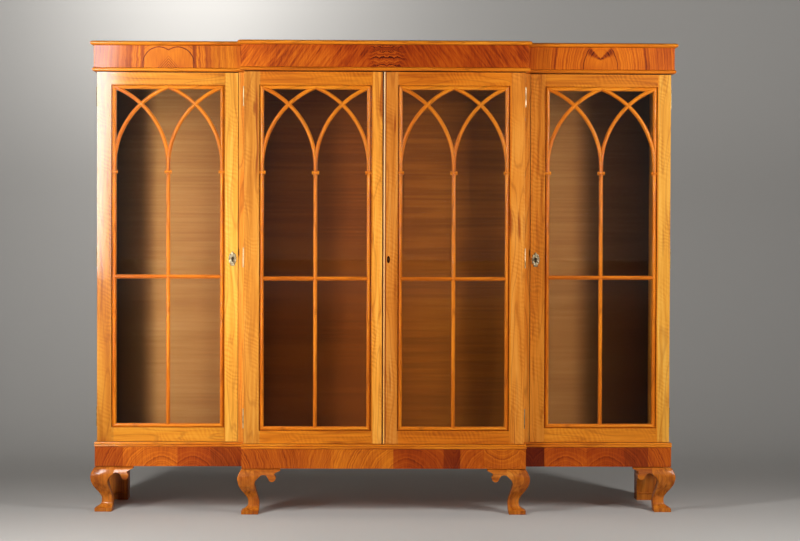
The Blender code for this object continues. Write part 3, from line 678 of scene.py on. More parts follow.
friezeVeneer = {
    **veneer,
    "bands": [(0.33, "#501a02"), (0.41, "#8e3c05"), (0.49, "#bc600c"), (0.58, "#d98018"), (0.70, "#ea9a2c")],
    # tones along the run in metres from the middle of the case
    "tones": [(-0.95, "#f4dcc8"), (-0.75, "#fff0d0"), (-0.49, "#fff6c4"), (-0.46, "#f8d4a8"),
              (-0.30, "#e6c09a"), (-0.12, "#d8a080"), (0.05, "#c89070"), (0.25, "#cc9470"),
              (0.45, "#d8a47c"), (0.52, "#f6d6ac"), (0.72, "#ffeabc"), (0.93, "#fcdeb4")],
    "toneJoin": "LINEAR",
    "lineShare": 0.66,
    "poreShare": 0.13,
    "cloudShare": 0.24,
    "cloudScale": 7.0,
    "wingMiddle": 0.710,       # where the two leaves of a wing meet
    "wingDarkness": -0.42,     # of its drawn lines
    # two lobes that meet: rings round a point beside the joint
    "lobe": {"centre": (0.033, -0.0195), "spread": (1.0, 1.0), "wander": 0.006, "wanderScale": 30.0,
             "lineWidth": 8 * mm, "calm": (0.045, 0.075, 0.15)},
    "lobeMarks": [(44, 0.0), (51.5, 0.0), (53.6, 1.0), (56, 0.0), (66, 0.0), (68.5, 0.35), (71, 0.0)],
    # steeper lines outside the lobes, with two dark bands among them
    "sides": {"centre": (0.0, -0.060), "spread": (1.0, 0.32), "wander": 0.016, "wanderScale": 26.0,
              "lineWidth": 10 * mm, "calm": (0.075, 0.105, 0.0)},
    "sideMarks": [(86, 0.0), (98, 0.35), (110, 0.0), (126, 0.0), (136, 0.35), (144, 0.05), (165, 0.0)],
    # a bell outline round the other wing's joint
    "bell": {"centre": (0.0, -0.036), "spread": (1.0, 0.63), "wander": 0.008, "wanderScale": 30.0,
             "lineWidth": 6 * mm, "calm": (0.045, 0.090, 0.3)},
    "bellMarks": [(50, 0.0), (59, 0.0), (61, 0.8), (63.5, 0.1), (72, 0.0), (150, 0.0), (156, 0.5),
                  (162, 0.0)],
    "markReach": 250,
    # chevrons, low down by the joint
    "chevronWidth": 9 * mm,
    "chevronSlope": 1.15,
    "chevronFade": (12 * mm, -4 * mm),
    "chevronShare": 0.50,
    # a moth: wings that rise and widen away from the joint
    "mothLift": 10 * mm,
    "mothRise": 0.74,
    "mothWidth": (0.46, 0.12),
    "mothShare": 1.25,
    "mothReach": (50 * mm, 30 * mm),
    "mothRagged": (0.62, 0.42),
    # the burr of flattened rings in the middle, and the strokes that lean toward it
    "burr": {"centre": (0.020, -0.050), "spread": (0.5, 1.6), "wander": 0.030, "wanderScale": 50.0,
             "lineWidth": 9 * mm, "calm": (0.0, 0.001, 1.0)},
    "burrMiddle": 5 * mm,
    "burrReach": 75 * mm,
    "burrCore": 26.25 * mm,
    "burrLevels": (0.42, 0.58, 0.20, 0.76),
    "strokeWidth": 8 * mm,
    "strokeRun": 70 * mm,
    "strokeLean": (0.82, 0.57),
    "strokeLevels": (0.0, 1.0, 0.15, 0.83),
    "centreOut": 10.1 * mm,    # how far the centre's figure runs past its half width
}


def wingFigure(tree, look, run, away, side, up):
    # the left wing's lines make two lobes over a nest of chevrons, the right wing's a bell with a
    # dark moth in it
    across = sums(tree, "ABSOLUTE", sums(tree, "SUBTRACT", away, look["wingMiddle"]))
    lobeRing = ringLines(tree, across, up, side, look["lobe"])[1]
    sideLines, sideRing = ringLines(tree, across, up, side, look["sides"])
    bellLines, bellRing = ringLines(tree, across, up, side, look["bell"])
    lobeDark = ringMarks(tree, lobeRing, look["lobeMarks"], look["markReach"])
    sideDark = ringMarks(tree, sideRing, look["sideMarks"], look["markReach"])
    bellDark = ringMarks(tree, bellRing, look["bellMarks"], look["markReach"])
    # chevrons are lines of equal height plus distance
    slope = sums(tree, "MULTIPLY_ADD", across, look["chevronSlope"], up)
    waves = sums(tree, "SINE", sums(tree, "MULTIPLY", slope, math.tau / look["chevronWidth"]))
    low = between(tree, slope, *look["chevronFade"], 0.0, look["chevronShare"])
    chevrons = sums(tree, "MULTIPLY", sums(tree, "MAXIMUM", waves, 0.0), low)
    # the moth is where height over distance is near its rise
    rise = sums(tree, "DIVIDE", sums(tree, "ADD", up, look["mothLift"]),
                sums(tree, "ADD", across, look["mothLift"]))
    off = sums(tree, "ABSOLUTE", sums(tree, "SUBTRACT", rise, look["mothRise"]))
    moth = between(tree, off, *look["mothWidth"], 0.0, look["mothShare"], "SMOOTHSTEP")
    nearJoint = between(tree, across, *look["mothReach"], 0.0, 1.0, "SMOOTHSTEP")
    ragged = between(tree, bellLines, *look["mothRagged"])
    moth = sums(tree, "MULTIPLY", sums(tree, "MULTIPLY", moth, nearJoint), ragged)
    leftDark = sums(tree, "MAXIMUM", sums(tree, "MAXIMUM", lobeDark, sideDark), chevrons)
    rightDark = sums(tree, "MAXIMUM", bellDark, moth)
    onRight = sums(tree, "GREATER_THAN", run, 0.0)
    dark = blend(tree, onRight, leftDark, rightDark)
    lines = blend(tree, onRight, sideLines, bellLines)
    return sums(tree, "MULTIPLY_ADD", dark, look["wingDarkness"], lines)


def centreFigure(tree, look, run, flat, side, up):
    # a burr of flattened rings, and round it strokes narrow across their lean and long along it
    fromBurr = sums(tree, "ABSOLUTE", sums(tree, "SUBTRACT", run, look["burrMiddle"]))
    burr = ringLines(tree, fromBurr, up, 0.0, look["burr"])[0]
    burr = between(tree, burr, *look["burrLevels"])
    leanX, leanZ = look["strokeLean"]
    thin = sums(tree, "DIVIDE", vectors(tree, "DOT_PRODUCT", flat, (leanX, leanZ, 0)), look["strokeWidth"])
    long = sums(tree, "DIVIDE", vectors(tree, "DOT_PRODUCT", flat, (-leanZ, leanX, 0)), look["strokeRun"])
    strokes = noise(tree, together(tree, thin, long, side), 1.0, 4.0, Distortion=0.5)["Fac"]
    strokes = between(tree, strokes, *look["strokeLevels"])
    inBurr = between(tree, fromBurr, look["burrReach"], look["burrCore"], 0.0, 1.0, "SMOOTHSTEP")
    return blend(tree, inBurr, strokes, burr)


def friezeFigure(name, look, middle):
    # crotch walnut sawn thin and varnished: each wing in two mirrored leaves, and the centre in
    # slanting feather strokes that meet in a dark burr
    made, tree, shader = newMaterial(name)
    run, up, _, pores = veneerParts(tree, look, middle)
    away = sums(tree, "ABSOLUTE", run)
    side = sums(tree, "SIGN", run)
    flat = together(tree, away, up, 0.0)
    wings = wingFigure(tree, look, run, away, side, up)
    centre = centreFigure(tree, look, run, flat, side, up)
    inCentre = sums(tree, "LESS_THAN", away, case["centreHalf"] + look["centreOut"])
    clouds = noise(tree, flat, look["cloudScale"], 1.0)["Fac"]
    patterns = [(blend(tree, inCentre, wings, centre), look["lineShare"]), (pores, look["poreShare"]),
                (clouds, look["cloudShare"])]
    veneerShader(shader, tree, patterns, pores, run, look)
    return made


skirtVeneer = {
    **veneer,
    "bands": [(0.33, "#622606"), (0.41, "#92460c"), (0.49, "#bb6614"), (0.58, "#d5841f"), (0.70, "#e49c30")],
    # each leaf starts at its first number, in metres from the middle of the case
    "tones": [(-0.99, "#d8a478"), (-0.864, "#ffdcb0"), (-0.681, "#d8a078"), (-0.577, "#c08c68"),
              (-0.47, "#e8c098"), (-0.177, "#fce0b4"), (0.025, "#cc9068"), (0.191, "#a06448"),
              (0.246, "#e4b488"), (0.328, "#f4d0a0"), (0.464, "#8c5038"), (0.530, "#e4b080"),
              (0.668, "#d09468"), (0.793, "#b88060"), (0.875, "#e4b488")],
    "toneJoin": "CONSTANT",
    "lineShare": 0.62,
    "poreShare": 0.20,
    "cloudShare": 0.20,
    "cloudScale": 9.0,
    "arches": (-0.732, -0.630, 0.074, 0.602, 0.737),
    "hollow": (0.387, 0.062),     # the one arch that hangs, and how far to each side it goes
    "arch": {"centre": (0.0, -0.016), "spread": (1.0, 1.25), "wander": 0.020, "wanderScale": 24.0,
             "lineWidth": 7 * mm, "calm": (0.03, 0.06, 0.45)},
}


def skirtFigure(name, look, low):
    # figured walnut in leaves with the grain upright: arches where the saw met a swelling, plain
    # upright lines between them, and every leaf its own tone
    made, tree, shader = newMaterial(name)
    run, up, place, pores = veneerParts(tree, look, low)
    across = 10.0                 # farther than any arch
    for middle in (*look["arches"], look["hollow"][0]):
        near = sums(tree, "ABSOLUTE", sums(tree, "SUBTRACT", run, middle))
        across = sums(tree, "MINIMUM", across, near)
    hangs = sums(tree, "COMPARE", run, *look["hollow"])
    down = sums(tree, "SUBTRACT", case["skirtHigh"] - low, up)
    lines = ringLines(tree, across, blend(tree, hangs, up, down), 0.0, look["arch"])[0]
    clouds = noise(tree, place, look["cloudScale"], 1.0)["Fac"]
    patterns = [(lines, look["lineShare"]), (pores, look["poreShare"]), (clouds, look["cloudShare"])]
    veneerShader(shader, tree, patterns, pores, run, look)
    return made


# Finishes of plywood, metal and glass

plywood = {
    "wings": [(0.30, "#a87040"), (0.46, "#b47c48"), (0.54, "#ba824e"), (0.70, "#c48e5a")],
    "centre": [(0.30, "#7e4212"), (0.46, "#8c4b16"), (0.54, "#985418"), (0.70, "#a26020")],
    # the sheet of the centre is redder and darker at its left and lighter at its right, partly its own
    # tone and partly painted light and shade; those of the wings are darker at their ends, painted shade
    "tones": [(-0.93, "#58585e"), (-0.84, "#949290"), (-0.78, "#f4f0ec"), (-0.45, "#c0a494"),
              (-0.05, "#c0a894"), (0.05, "#ecdac2"), (0.20, "#fff4e0"), (0.44, "#fff8e8"),
              (0.47, "#e8dccc"), (0.66, "#e4d4c4"), (0.72, "#a09488"), (0.93, "#585048")],
    "lines": (3.0, 60, 150),      # to the metre along each axis
    "clouds": (1.6, 10, 14),
    "lineDent": 0.15,
    "shadeAndStainDepth": 1 * mm,         # short of the outside of the back
}


def plywoodBack(name, look):
    # rotary-cut plywood, sanded and oiled: level grain in fine lines, no gloss. The sheets of the wings
    # are tan, and the one of the centre is stained a deeper red brown that is partly painted shade.
    made, tree, shader = newMaterial(name)
    spot = objectPlace(tree)
    lines = stretched(tree, spot, look["lines"], 4.0)
    clouds = stretched(tree, spot, look["clouds"], 2.0)
    half = sums(tree, "MULTIPLY", sums(tree, "ADD", lines, clouds), 0.5)
    wings = addNode(tree, "ValToRGB", {0: half, "stops": look["wings"]}).outputs["Color"]
    centre = addNode(tree, "ValToRGB", {0: half, "stops": look["centre"]}).outputs["Color"]
    x, y, _ = apart(tree, spot)
    inCentre = sums(tree, "COMPARE", x, 0.0, case["centreHalf"])
    # painted shade at the ends of the wings' sheets, and painted light and shade across the centre's
    stainedAndShaded = tonedAlong(tree, dye(tree, inCentre, wings, centre), x, look["tones"], "LINEAR")
    # the stain and the painted shade stop short of the outside of the back, which is bare plywood
    inside = sums(tree, "LESS_THAN", y, case["backPlane"] - look["shadeAndStainDepth"])
    setInputs(shader, {"Base Color": dye(tree, inside, wings, stainedAndShaded), "Roughness": 0.70, "IOR": 1.5,
                       "Specular IOR Level": 0.06, "Normal": dented(tree, lines, look["lineDent"], 0.3 * mm)})
    return made


metal = {
    "levels": (0.35, 0.62),       # of the noise where the metal is all dull and all bright
    "roughLevels": (0.3, 0.7),
    "dulling": 0.15,              # how much rougher the dull places are
    "gritScale": 1800.0,
    "gritDent": 0.12,
}


def brass(name, light, dark, roughness, wear):
    # brass, a yellow metal: handled places stay bright and the rest dulls in soft patches
    made, tree, shader = newMaterial(name)
    place = objectPlace(tree)
    dull = noise(tree, place, wear, 4.0)["Fac"]
    stops = list(zip(metal["levels"], (dark, light)))
    colour = addNode(tree, "ValToRGB", {0: dull, "stops": stops}).outputs["Color"]
    rough = between(tree, dull, *metal["roughLevels"], roughness + metal["dulling"], roughness)
    grit = noise(tree, place, metal["gritScale"], 2.0)["Fac"]
    setInputs(shader, {"Base Color": colour, "Metallic": 1.0, "Roughness": rough,
                       "Normal": dented(tree, grit, metal["gritDent"], 0.05 * mm)})
    return made


def sheetGlass(name):
    # drawn sheet glass: clear, slightly green, with a faint draw line that bends reflections.
    # Shadow rays pass straight through, so the bays behind it are lit as through a real pane.
    made, tree, shader = newMaterial(name)
    draw = stretched(tree, objectPlace(tree), (6, 1, 1.2), 1.0)
    setInputs(shader, {"Base Color": "#f7fbf9", "Roughness": 0.02, "IOR": 1.5, "Transmission Weight": 1.0,
                       "Normal": dented(tree, draw, 0.03, 1.0 * mm)})
    shadow = addNode(tree, "LightPath", {}).outputs["Is Shadow Ray"]
    clear = addNode(tree, "BsdfTransparent", {"Color": "#f2f7f4"}).outputs[0]
    overlaid(tree, "Material Output", shadow, shader.outputs[0], clear)
    return made


makeStudio()
makeCamera()
print("studio and camera stand")

# a brass has its bright and its dull colour, its least roughness and its patches to the metre
finish = {
    "case": varnishedWalnut("varnishedWalnutCase", caseWood, uprightGrain),
    "level": varnishedWalnut("varnishedWalnutBoards", edgeWood, runGrain),
    "door": varnishedWalnut("varnishedWalnutDoors", doorWood, doorGrain),
    "tracery": varnishedWalnut("varnishedWalnutTracery", edgeWood, ownGrain),
    "foot": varnishedWalnut("varnishedWalnutFeet", footWood, ownGrain),
    "frieze": friezeFigure("crotchVeneerFrieze", friezeVeneer, (case["friezeLow"] + case["friezeHigh"]) / 2),
    "skirt": skirtFigure("figuredVeneerSkirt", skirtVeneer, case["skirtLow"]),
    "back": plywoodBack("oiledPlywood", plywood),
    "hinge": brass("polishedBrass", "#c0ac88", "#8c7850", 0.38, 60.0),
    "lock": brass("castBrass", "#b99a62", "#7d6238", 0.42, 40.0),
    "lining": brass("darkenedBrass", "#4a1c0c", "#200a06", 0.6, 300.0),
    "plate": brass("stampedBrass", "#c8bc9c", "#8a7a58", 0.36, 140.0),
    "glass": sheetGlass("sheetGlass"),
}
print("finishes mixed")

boardFinish = {
    "frieze_frame": "frieze", "skirt_frame": "skirt",
    "left_end_panel": "case", "right_end_panel": "case", "left_partition": "case", "right_partition": "case",
}
for node, kind in boardFinish.items():
    softened(node, 0.5 * mm, finish[kind])
doorNames = ("left_wing", "centre_left", "centre_right", "right_wing")
for door in doorNames:
    softened(door + "_door_frame", 0.4 * mm, finish["door"])
print("boards eased")


# Mouldings: one profile carried round the front and the sides, mitred at every corner

mouldingShape = {
    "capLevel": 1.5343,
    "capHigh": 14.7 * mm,
    "capOut": 21 * mm,
    "capNose": 7.6 * mm,         # height of the nose
    "capUnder": 9 * mm,          # how far the curve below the nose reaches in
    "capUpper": 17 * mm,         # and the curve above it
    "beadLevel": 1.449,
    "beadHigh": 12 * mm,
    "beadOut": 15 * mm,
    "baseLevel": 0.2143,
    "baseHigh": 15.7 * mm,
    "baseOut": 8.5 * mm,
    "groove": 0.9 * mm,          # between the two reeds of the base
}


def ellipseQuarter(middle, radii, startDegrees, steps=8):
    turn = np.radians(np.linspace(startDegrees, startDegrees + 90, steps + 1))
    return np.stack([middle[0] + radii[0] * np.cos(turn), middle[1] + radii[1] * np.sin(turn)], axis=1)


def halfRound(out, low, high):
    radius = (high - low) / 2
    middle, radii = (out - radius, low + radius), (radius, radius)
    return np.vstack([ellipseQuarter(middle, radii, -90), ellipseQuarter(middle, radii, 0)[1:]])


def roundThePlan(profile, level):
    # every point of the profile (outward, up) at each of the eight corners of the plan, which
    # move outward with it: grid[i, j] is point i at corner j
    out, up = profile.T
    half, centre = case["caseHalf"] + out, case["centreHalf"] + out
    wing, front = case["wingFace"] - out, case["centreFace"] - out
    back = np.full(len(out), case["backPlane"])
    x = np.stack([-half, -half, -centre, -centre, centre, centre, half, half], axis=1)
    y = np.stack([back, wing, wing, front, front, wing, wing, back], axis=1)
    return pointGrid(x, y, level + up[:, None])


def makeMoulding(node, name, profile, level, solid):
    # a solid one fills the plan from side to side, and the others are a band round it
    grid = roundThePlan(profile, level)
    points, faces = gridFaces(grid if solid else np.swapaxes(grid, 0, 1))
    piece = makePiece(name, [(points, faces, points)], finish["level"], 32)
    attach(piece, "carcass")
    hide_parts(node)
    return piece


def makeMouldings():
    m = mouldingShape
    out, nose = m["capOut"], m["capNose"]
    under = ellipseQuarter((out - m["capUnder"], nose), (m["capUnder"], nose), -90)
    upper = ellipseQuarter((out - m["capUpper"], nose), (m["capUpper"], m["capHigh"] - nose), 0)
    cap = np.vstack([under, upper[1:]])
    makeMoulding("top_board", "moulded_cap", cap, m["capLevel"], True)
    bead = halfRound(m["beadOut"], 0, m["beadHigh"])
    bead = np.vstack([[0.3 * mm, 0], bead, [0.3 * mm, m["beadHigh"]]])
    makeMoulding("frieze_bead", "moulded_bead", bead, m["beadLevel"], False)
    middle = m["baseHigh"] / 2
    lower = halfRound(m["baseOut"], 0, middle)[:-2]
    upper = halfRound(m["baseOut"], middle, m["baseHigh"])[2:]
    groove = [[m["baseOut"] - middle / 2 - m["groove"], middle]]
    base = np.vstack([lower, groove, upper])
    makeMoulding("bottom_board", "reeded_base", base, m["baseLevel"], True)


makeMouldings()
print("mouldings run")


# Tracery: bars of one moulded section, set behind the face of the door

traceryShape = {
    "barWidth": 13 * mm,
    "barDepth": 9 * mm,
    "borderWidth": 13.5 * mm,
    "quirk": 1.4 * mm,          # dark gap between a stile and the border
    "flank": 3.2 * mm,          # straight side of a bar below its round
    "shoulder": 0.9 * mm,       # narrow flat between the side and the round
    "springingDrop": 272 * mm,
    "crossBarRise": 484 * mm,
    "collarWidth": 24 * mm,
    "collarHeight": 12 * mm,
    "collarProud": 1.0 * mm,
    "sideCollarReach": 5 * mm,
    "layer": 0.2 * mm,          # bars that cross lie this much apart, or half as much
    "stilt": 20 * mm,
    "archSteps": 48,
    # where the grain of each kind of bar starts, so that no two look alike
    "grainStarts": {"upright": 3.1, "level": 3.9, "toMiddle": 5.3, "fromMiddle": 8.3, "collar": 11.0},
}


def barSection(width, depth):
    # across and forward: straight sides, a narrow shoulder, and a crown that is half an ellipse
    t = traceryShape
    turn = np.linspace(np.pi, 0, 15)
    crown = np.stack([(width / 2 - t["shoulder"]) * np.cos(turn),
                      t["flank"] + (depth - t["flank"]) * np.sin(turn)], axis=1)
    ends = [[-width / 2, 0], [-width / 2, t["flank"]]]
    return np.vstack([ends, crown, [[width / 2, t["flank"]], [width / 2, 0]]])


def barAlong(line, section, back, seed):
    # the section stands square to the line: place = line + its normal * across, and forward of
    # the plane at back
    step = np.gradient(line, axis=0)
    step = step / np.linalg.norm(step, axis=1, keepdims=True)
    across, out = section.T
    x = line[:, :1] + step[:, 1:] * across
    z = line[:, 1:] - step[:, :1] * across
    gone = np.linalg.norm(np.diff(line, axis=0), axis=1)     # length of each step
    run = np.concatenate([[0], np.cumsum(gone)])[:, None] + seed
    points, faces = gridFaces(pointGrid(x, back - out, z))
    return points, faces, pointGrid(across + seed, out, run).reshape(-1, 3)


def mitredSide(start, end, section, back, inward, seed):
    # one side of the border, cut back at both ends along the corner's half angle
    start = np.array(start)
    run = np.array(end) - start
    length = np.linalg.norm(run)
    run = run / length
    inset = section[:, 0] + traceryShape["borderWidth"] / 2
    ends = np.stack([inset, length - inset])
    x = start[0] + run[0] * ends + inward[0] * inset
    z = start[1] + run[1] * ends + inward[1] * inset
    out = section[:, 1]
    points, faces = gridFaces(pointGrid(x, back - out, z))
    return points, faces, pointGrid(inset + seed, out, ends + seed).reshape(-1, 3)


def archLine(footX, footZ, tipX, tipZ):
    # straight up from its foot for the stilt, then a circle that passes through its tip
    across, rise = tipX - footX, tipZ - footZ - traceryShape["stilt"]
    radius = (across ** 2 + rise ** 2) / (2 * abs(across))
    turn = np.linspace(0, math.asin(rise / radius), traceryShape["archSteps"])
    arc = np.stack([footX + np.sign(across) * radius * (1 - np.cos(turn)),
                    tipZ - rise + radius * np.sin(turn)], axis=1)
    return np.vstack([[[footX, footZ]], arc])


def makeTracery(door):
    t = traceryShape
    starts = t["grainStarts"]
    layer = t["layer"]
    low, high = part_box(door + "_door_tracery")
    middle = (low.x + high.x) / 2
    back = high.y
    edge = t["borderWidth"] / 2
    bar = barSection(t["barWidth"], t["barDepth"] - 2 * layer)
    border = barSection(t["borderWidth"], t["barDepth"] - layer / 2)
    west, east = low.x + t["quirk"], high.x - t["quirk"]
    corners = [(west, low.z), (east, low.z), (east, high.z), (west, high.z)]
    inward = [(0, 1), (-1, 0), (0, -1), (1, 0)]
    parts = []
    for k in range(4):
        start, end = corners[k], corners[(k + 1) % 4]
        parts.append(mitredSide(start, end, border, back - layer / 2, inward[k], k * 0.7))
    springing = high.z - t["borderWidth"] - t["springingDrop"]
    crossing = low.z + t["borderWidth"] + t["crossBarRise"]
    upright = np.array([[middle, low.z + edge], [middle, springing]])
    level = np.array([[west + edge, crossing], [east - edge, crossing]])
    parts.append(barAlong(upright, bar, back - layer, starts["upright"]))
    parts.append(barAlong(level, bar, back - 2 * layer, starts["level"]))
    # the backs of two bars in one plane show a black patch where they meet, so each bar of an
    # arch, and the collars, get planes of their own
    top = high.z - edge
    for side, corner in ((-1, west + edge), (1, east - edge)):
        toMiddle = archLine(corner, springing, middle, top)
        fromMiddle = archLine(middle, springing, corner, top)
        parts.append(barAlong(toMiddle, bar, back - (3 + side / 4) * layer, starts["toMiddle"] + side))
        parts.append(barAlong(fromMiddle, bar, back - (4 + side / 4) * layer, starts["fromMiddle"] + side))
    behind = 5 * layer
    collar = barSection(t["collarHeight"], t["barDepth"] + t["collarProud"] - behind)
    reach = edge + t["sideCollarReach"]
    spans = ((middle - t["collarWidth"] / 2, middle + t["collarWidth"] / 2),
             (low.x, west + edge + reach), (east - edge - reach, high.x))
    for start, end in spans:
        line = np.array([[start, springing], [end, springing]])
        parts.append(barAlong(line, collar, back - behind, starts["collar"] + start))
    piece = makePiece(door + "_moulded_tracery", parts, finish["tracery"], 50)
    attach(piece, door + "_door")
    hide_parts(door + "_door_tracery")


for door in doorNames:
    makeTracery(door)
print("tracery moulded")


# Feet: sawn to a double curve on both faces, with bracket ears that end in a scroll

footShape = {
    "legWidth": 62.5 * mm,
    "height": 150 * mm,         # up to the skirt
    "arris": 1.3 * mm,          # rounding of the leg's edges
    "neckDeep": 2.6 * mm,       # the shadow line under the skirt
    "neckHigh": 2.4 * mm,
    "earLength": 126.5 * mm,
    "earThickness": 22 * mm,
    "earBehind": 0.5 * mm,      # how far its face lies behind the curve of the knee
    "scrollRadius": 12 * mm,
    "scrollDegrees": (55, -170),
    "skirtOut": 6.5 * mm,       # how far the skirt stands out past the doors and the ends
    "toeCut": 0.8 * mm,         # bevel round the sole
    "strip": 2.5 * mm,          # height of the strips that let an ear follow the knee
    "rearWidth": 73 * mm,
    "rearDepth": 60 * mm,
    "shoeHigh": 20 * mm,
    "shoeProud": 4 * mm,
    "beadHigh": 7 * mm,
    "beadProud": 2.5 * mm,
    # shares of legWidth inward from the skirt's face and of height up
    "outerCurve": [(0.03, 1.00), (-0.10, 0.925), (-0.21, 0.80), (-0.165, 0.66), (-0.03, 0.545), (0.19, 0.42),
                   (0.31, 0.33), (0.335, 0.24), (0.28, 0.16), (0.08, 0.097), (-0.015, 0.078)],
    "innerCurve": [(1.00, 1.00), (1.00, 0.86), (0.80, 0.775), (0.69, 0.70), (0.68, 0.64), (0.76, 0.50),
                   (0.865, 0.34), (0.91, 0.245), (0.90, 0.12), (0.87, 0.00)],
    # shares of earLength along and of height up
    "earEnd": [(0.20, 1.0), (1.0, 1.0), (1.0, 0.955), (0.93, 0.935), (0.85, 0.895)],
    "earScroll": (0.79, 0.797),
    "earArch": [(0.645, 0.852), (0.565, 0.868), (0.48, 0.845), (0.40, 0.775), (0.33, 0.69)],
}


def smoothCurve(points, steps=8):
    # a cubic between each two points, whose slopes at them come from the points beside them
    p = np.array(points, float)
    p0, p1, p2, p3 = np.vstack([p[:1], p[:-2]]), p[:-1], p[1:], np.vstack([p[2:], p[-1:]])
    t = np.linspace(0, 1, steps, endpoint=False)[None, :, None]
    p0, p1, p2, p3 = [q[:, None, :] for q in (p0, p1, p2, p3)]
    line = p1 + ((p2 - p0) * t + (2 * p0 - 5 * p1 + 4 * p2 - p3) * t ** 2
                 + (3 * p1 - p0 - 3 * p2 + p3) * t ** 3) / 2
    return np.vstack([line.reshape(-1, 2), p[-1:]])


def roundedSquare(low, high, radius):
    # corners at low and high of both axes, each turned by a quarter circle
    turn = np.concatenate([np.linspace(0, np.pi / 2, 5) + k * np.pi / 2 for k in (2, 3, 0, 1)])
    farX = np.repeat([0, 1, 1, 0], 5)
    farY = np.repeat([0, 0, 1, 1], 5)
    x = np.where(farX, high - radius, low + radius) + radius * np.cos(turn)
    y = np.where(farY, high - radius, low + radius) + radius * np.sin(turn)
    return x, y


def kneeLine():
    # the outer curve and the bevel at its foot
    f = footShape
    line = smoothCurve(f["outerCurve"]) * (f["legWidth"], f["height"])
    toe, cut = line[-1, 0], f["toeCut"]
    return np.vstack([line, [toe, cut], [toe + cut, 0.0]])


def frontLeg():
    # rings down the outer curve: at each height a square from the outer curve to the inner one
    f = footShape
    outer = kneeLine()
    inner = smoothCurve(f["innerCurve"]) * (f["legWidth"], f["height"])
    top = f["height"]
    neck = [[outer[0, 0] + f["neckDeep"], top], [outer[0, 0] + f["neckDeep"], top - f["neckHigh"]]]
    below = outer[outer[:, 1] < top - f["neckHigh"]]
    outer = np.vstack([neck, [np.interp(top - f["neckHigh"], outer[::-1, 1], outer[::-1, 0]),
                              top - f["neckHigh"] * 1.02], below])
    low = outer[:, :1]
    high = np.interp(outer[:, 1], inner[::-1, 1], inner[::-1, 0])[:, None]
    points, faces = gridFaces(pointGrid(*roundedSquare(low, high, f["arris"]), outer[:, 1:]))
    return points, faces, points.copy()


def bracketEar(flat):
    # the ear's outline on a plane, cut into level strips so that each can lie on the curve of
    # the knee, then given its thickness
    f = footShape
    scale = (f["earLength"], f["height"])
    turn = np.radians(np.linspace(*f["scrollDegrees"], 28))
    scroll = np.array(f["earScroll"]) * scale
    scroll = scroll + f["scrollRadius"] * np.stack([np.cos(turn), np.sin(turn)], axis=1)
    arch = smoothCurve(f["earArch"]) * scale
    root = [[f["earLength"] * f["earEnd"][0][0], arch[-1, 1]]]
    outline = np.vstack([np.array(f["earEnd"]) * scale, scroll, arch, root])
    shell = bmesh.new()
    shell.faces.new([shell.verts.new((x, 0, z)) for x, z in outline])
    neck = f["height"] - f["neckHigh"]
    levels = np.arange(outline[:, 1].min() + 2 * mm, f["height"] - 4 * mm, f["strip"])
    for level in (*levels, neck, neck * 0.999):
        everything = shell.verts[:] + shell.edges[:] + shell.faces[:]
        bmesh.ops.bisect_plane(shell, geom=everything, plane_co=(0, 0, level), plane_no=(0, 0, 1))
    bmesh.ops.extrude_face_region(shell, geom=shell.faces[:], use_keep_orig=True)
    count = len(shell.verts) // 2
    shell.verts.ensure_lookup_table()
    points = np.array([v.co for v in shell.verts])
    faces = [[v.index for v in face.verts] for face in shell.faces]
    shell.free()
    knee = kneeLine()
    front = np.zeros(count) if flat else np.interp(points[:count, 2], knee[::-1, 1], knee[::-1, 0])
    cut = points[:count, 2] > neck * 0.9995
    points[:count, 1] = front + f["earBehind"] + cut * f["neckDeep"]
    points[count:, 1] = f["earThickness"]
    return points, faces, points[:, [2, 1, 0]]


def rearLeg():
    # a straight block whose front carries a shoe and a half-round bead: a profile in depth and
    # height, carried across
    f = footShape
    turn = np.linspace(-np.pi / 2, np.pi / 2, 9)
    radius = f["beadHigh"] / 2
    bead = np.stack([f["rearDepth"] + f["beadProud"] - radius + radius * np.cos(turn),
                     f["shoeHigh"] + radius + radius * np.sin(turn)], axis=1)
    toe = f["rearDepth"] + f["shoeProud"]
    neck = f["height"] - f["neckHigh"]
    recess = f["rearDepth"] - f["neckDeep"]
    line = np.vstack([[0, 0], [toe, 0], [toe, f["shoeHigh"] - 1.2 * mm], [toe - 1.2 * mm, f["shoeHigh"]],
                      bead, [f["rearDepth"], neck], [recess, neck], [recess, f["height"]],
                      [0, f["height"]]])
    across = np.array([[0], [f["rearWidth"]]])
    points, faces = gridFaces(pointGrid(across, line[:, 0], line[:, 1]))
    return points, faces, points.copy()


def placed(part, corner, side, inward):
    # from the corner of the skirt out into the room: side turns it left or right, and inward
    # is 1 where +Y leads under the case
    points, faces, grain = part
    there = np.array(corner) + points * (-side, inward, 1)
    return there, faces, grain + np.array(corner) * 3


def turnedToSide(part):
    points, faces, grain = part
    return points[:, [1, 0, 2]], faces, grain


def makeFoot(node, parts):
    piece = makePiece(node + "_carved", parts, finish["foot"], 38)
    addArris(piece, 0.5 * mm, 50).harden_normals = True
    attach(piece, "carcass")
    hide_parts(node)


skirtOut = footShape["skirtOut"]
outside = case["caseHalf"] + skirtOut
inside = case["centreHalf"] + skirtOut
for side, word in ((-1, "left"), (1, "right")):
    corner = (side * outside, case["wingFace"] - skirtOut, 0)
    makeFoot(word + "_outer_foot", [placed(part, corner, side, 1) for part in (
        frontLeg(), bracketEar(False), turnedToSide(bracketEar(False)))])
    corner = (side * inside, case["centreFace"] - skirtOut, 0)
    makeFoot(word + "_inner_foot", [placed(part, corner, side, 1) for part in (
        frontLeg(), bracketEar(False))])
    corner = (side * outside, case["backPlane"], 0)
    makeFoot(word + "_rear_foot", [placed(part, corner, side, -1) for part in (
        rearLeg(), turnedToSide(bracketEar(True)))])
print("feet carved")


# Escutcheons: cast leaf plates with a keyhole

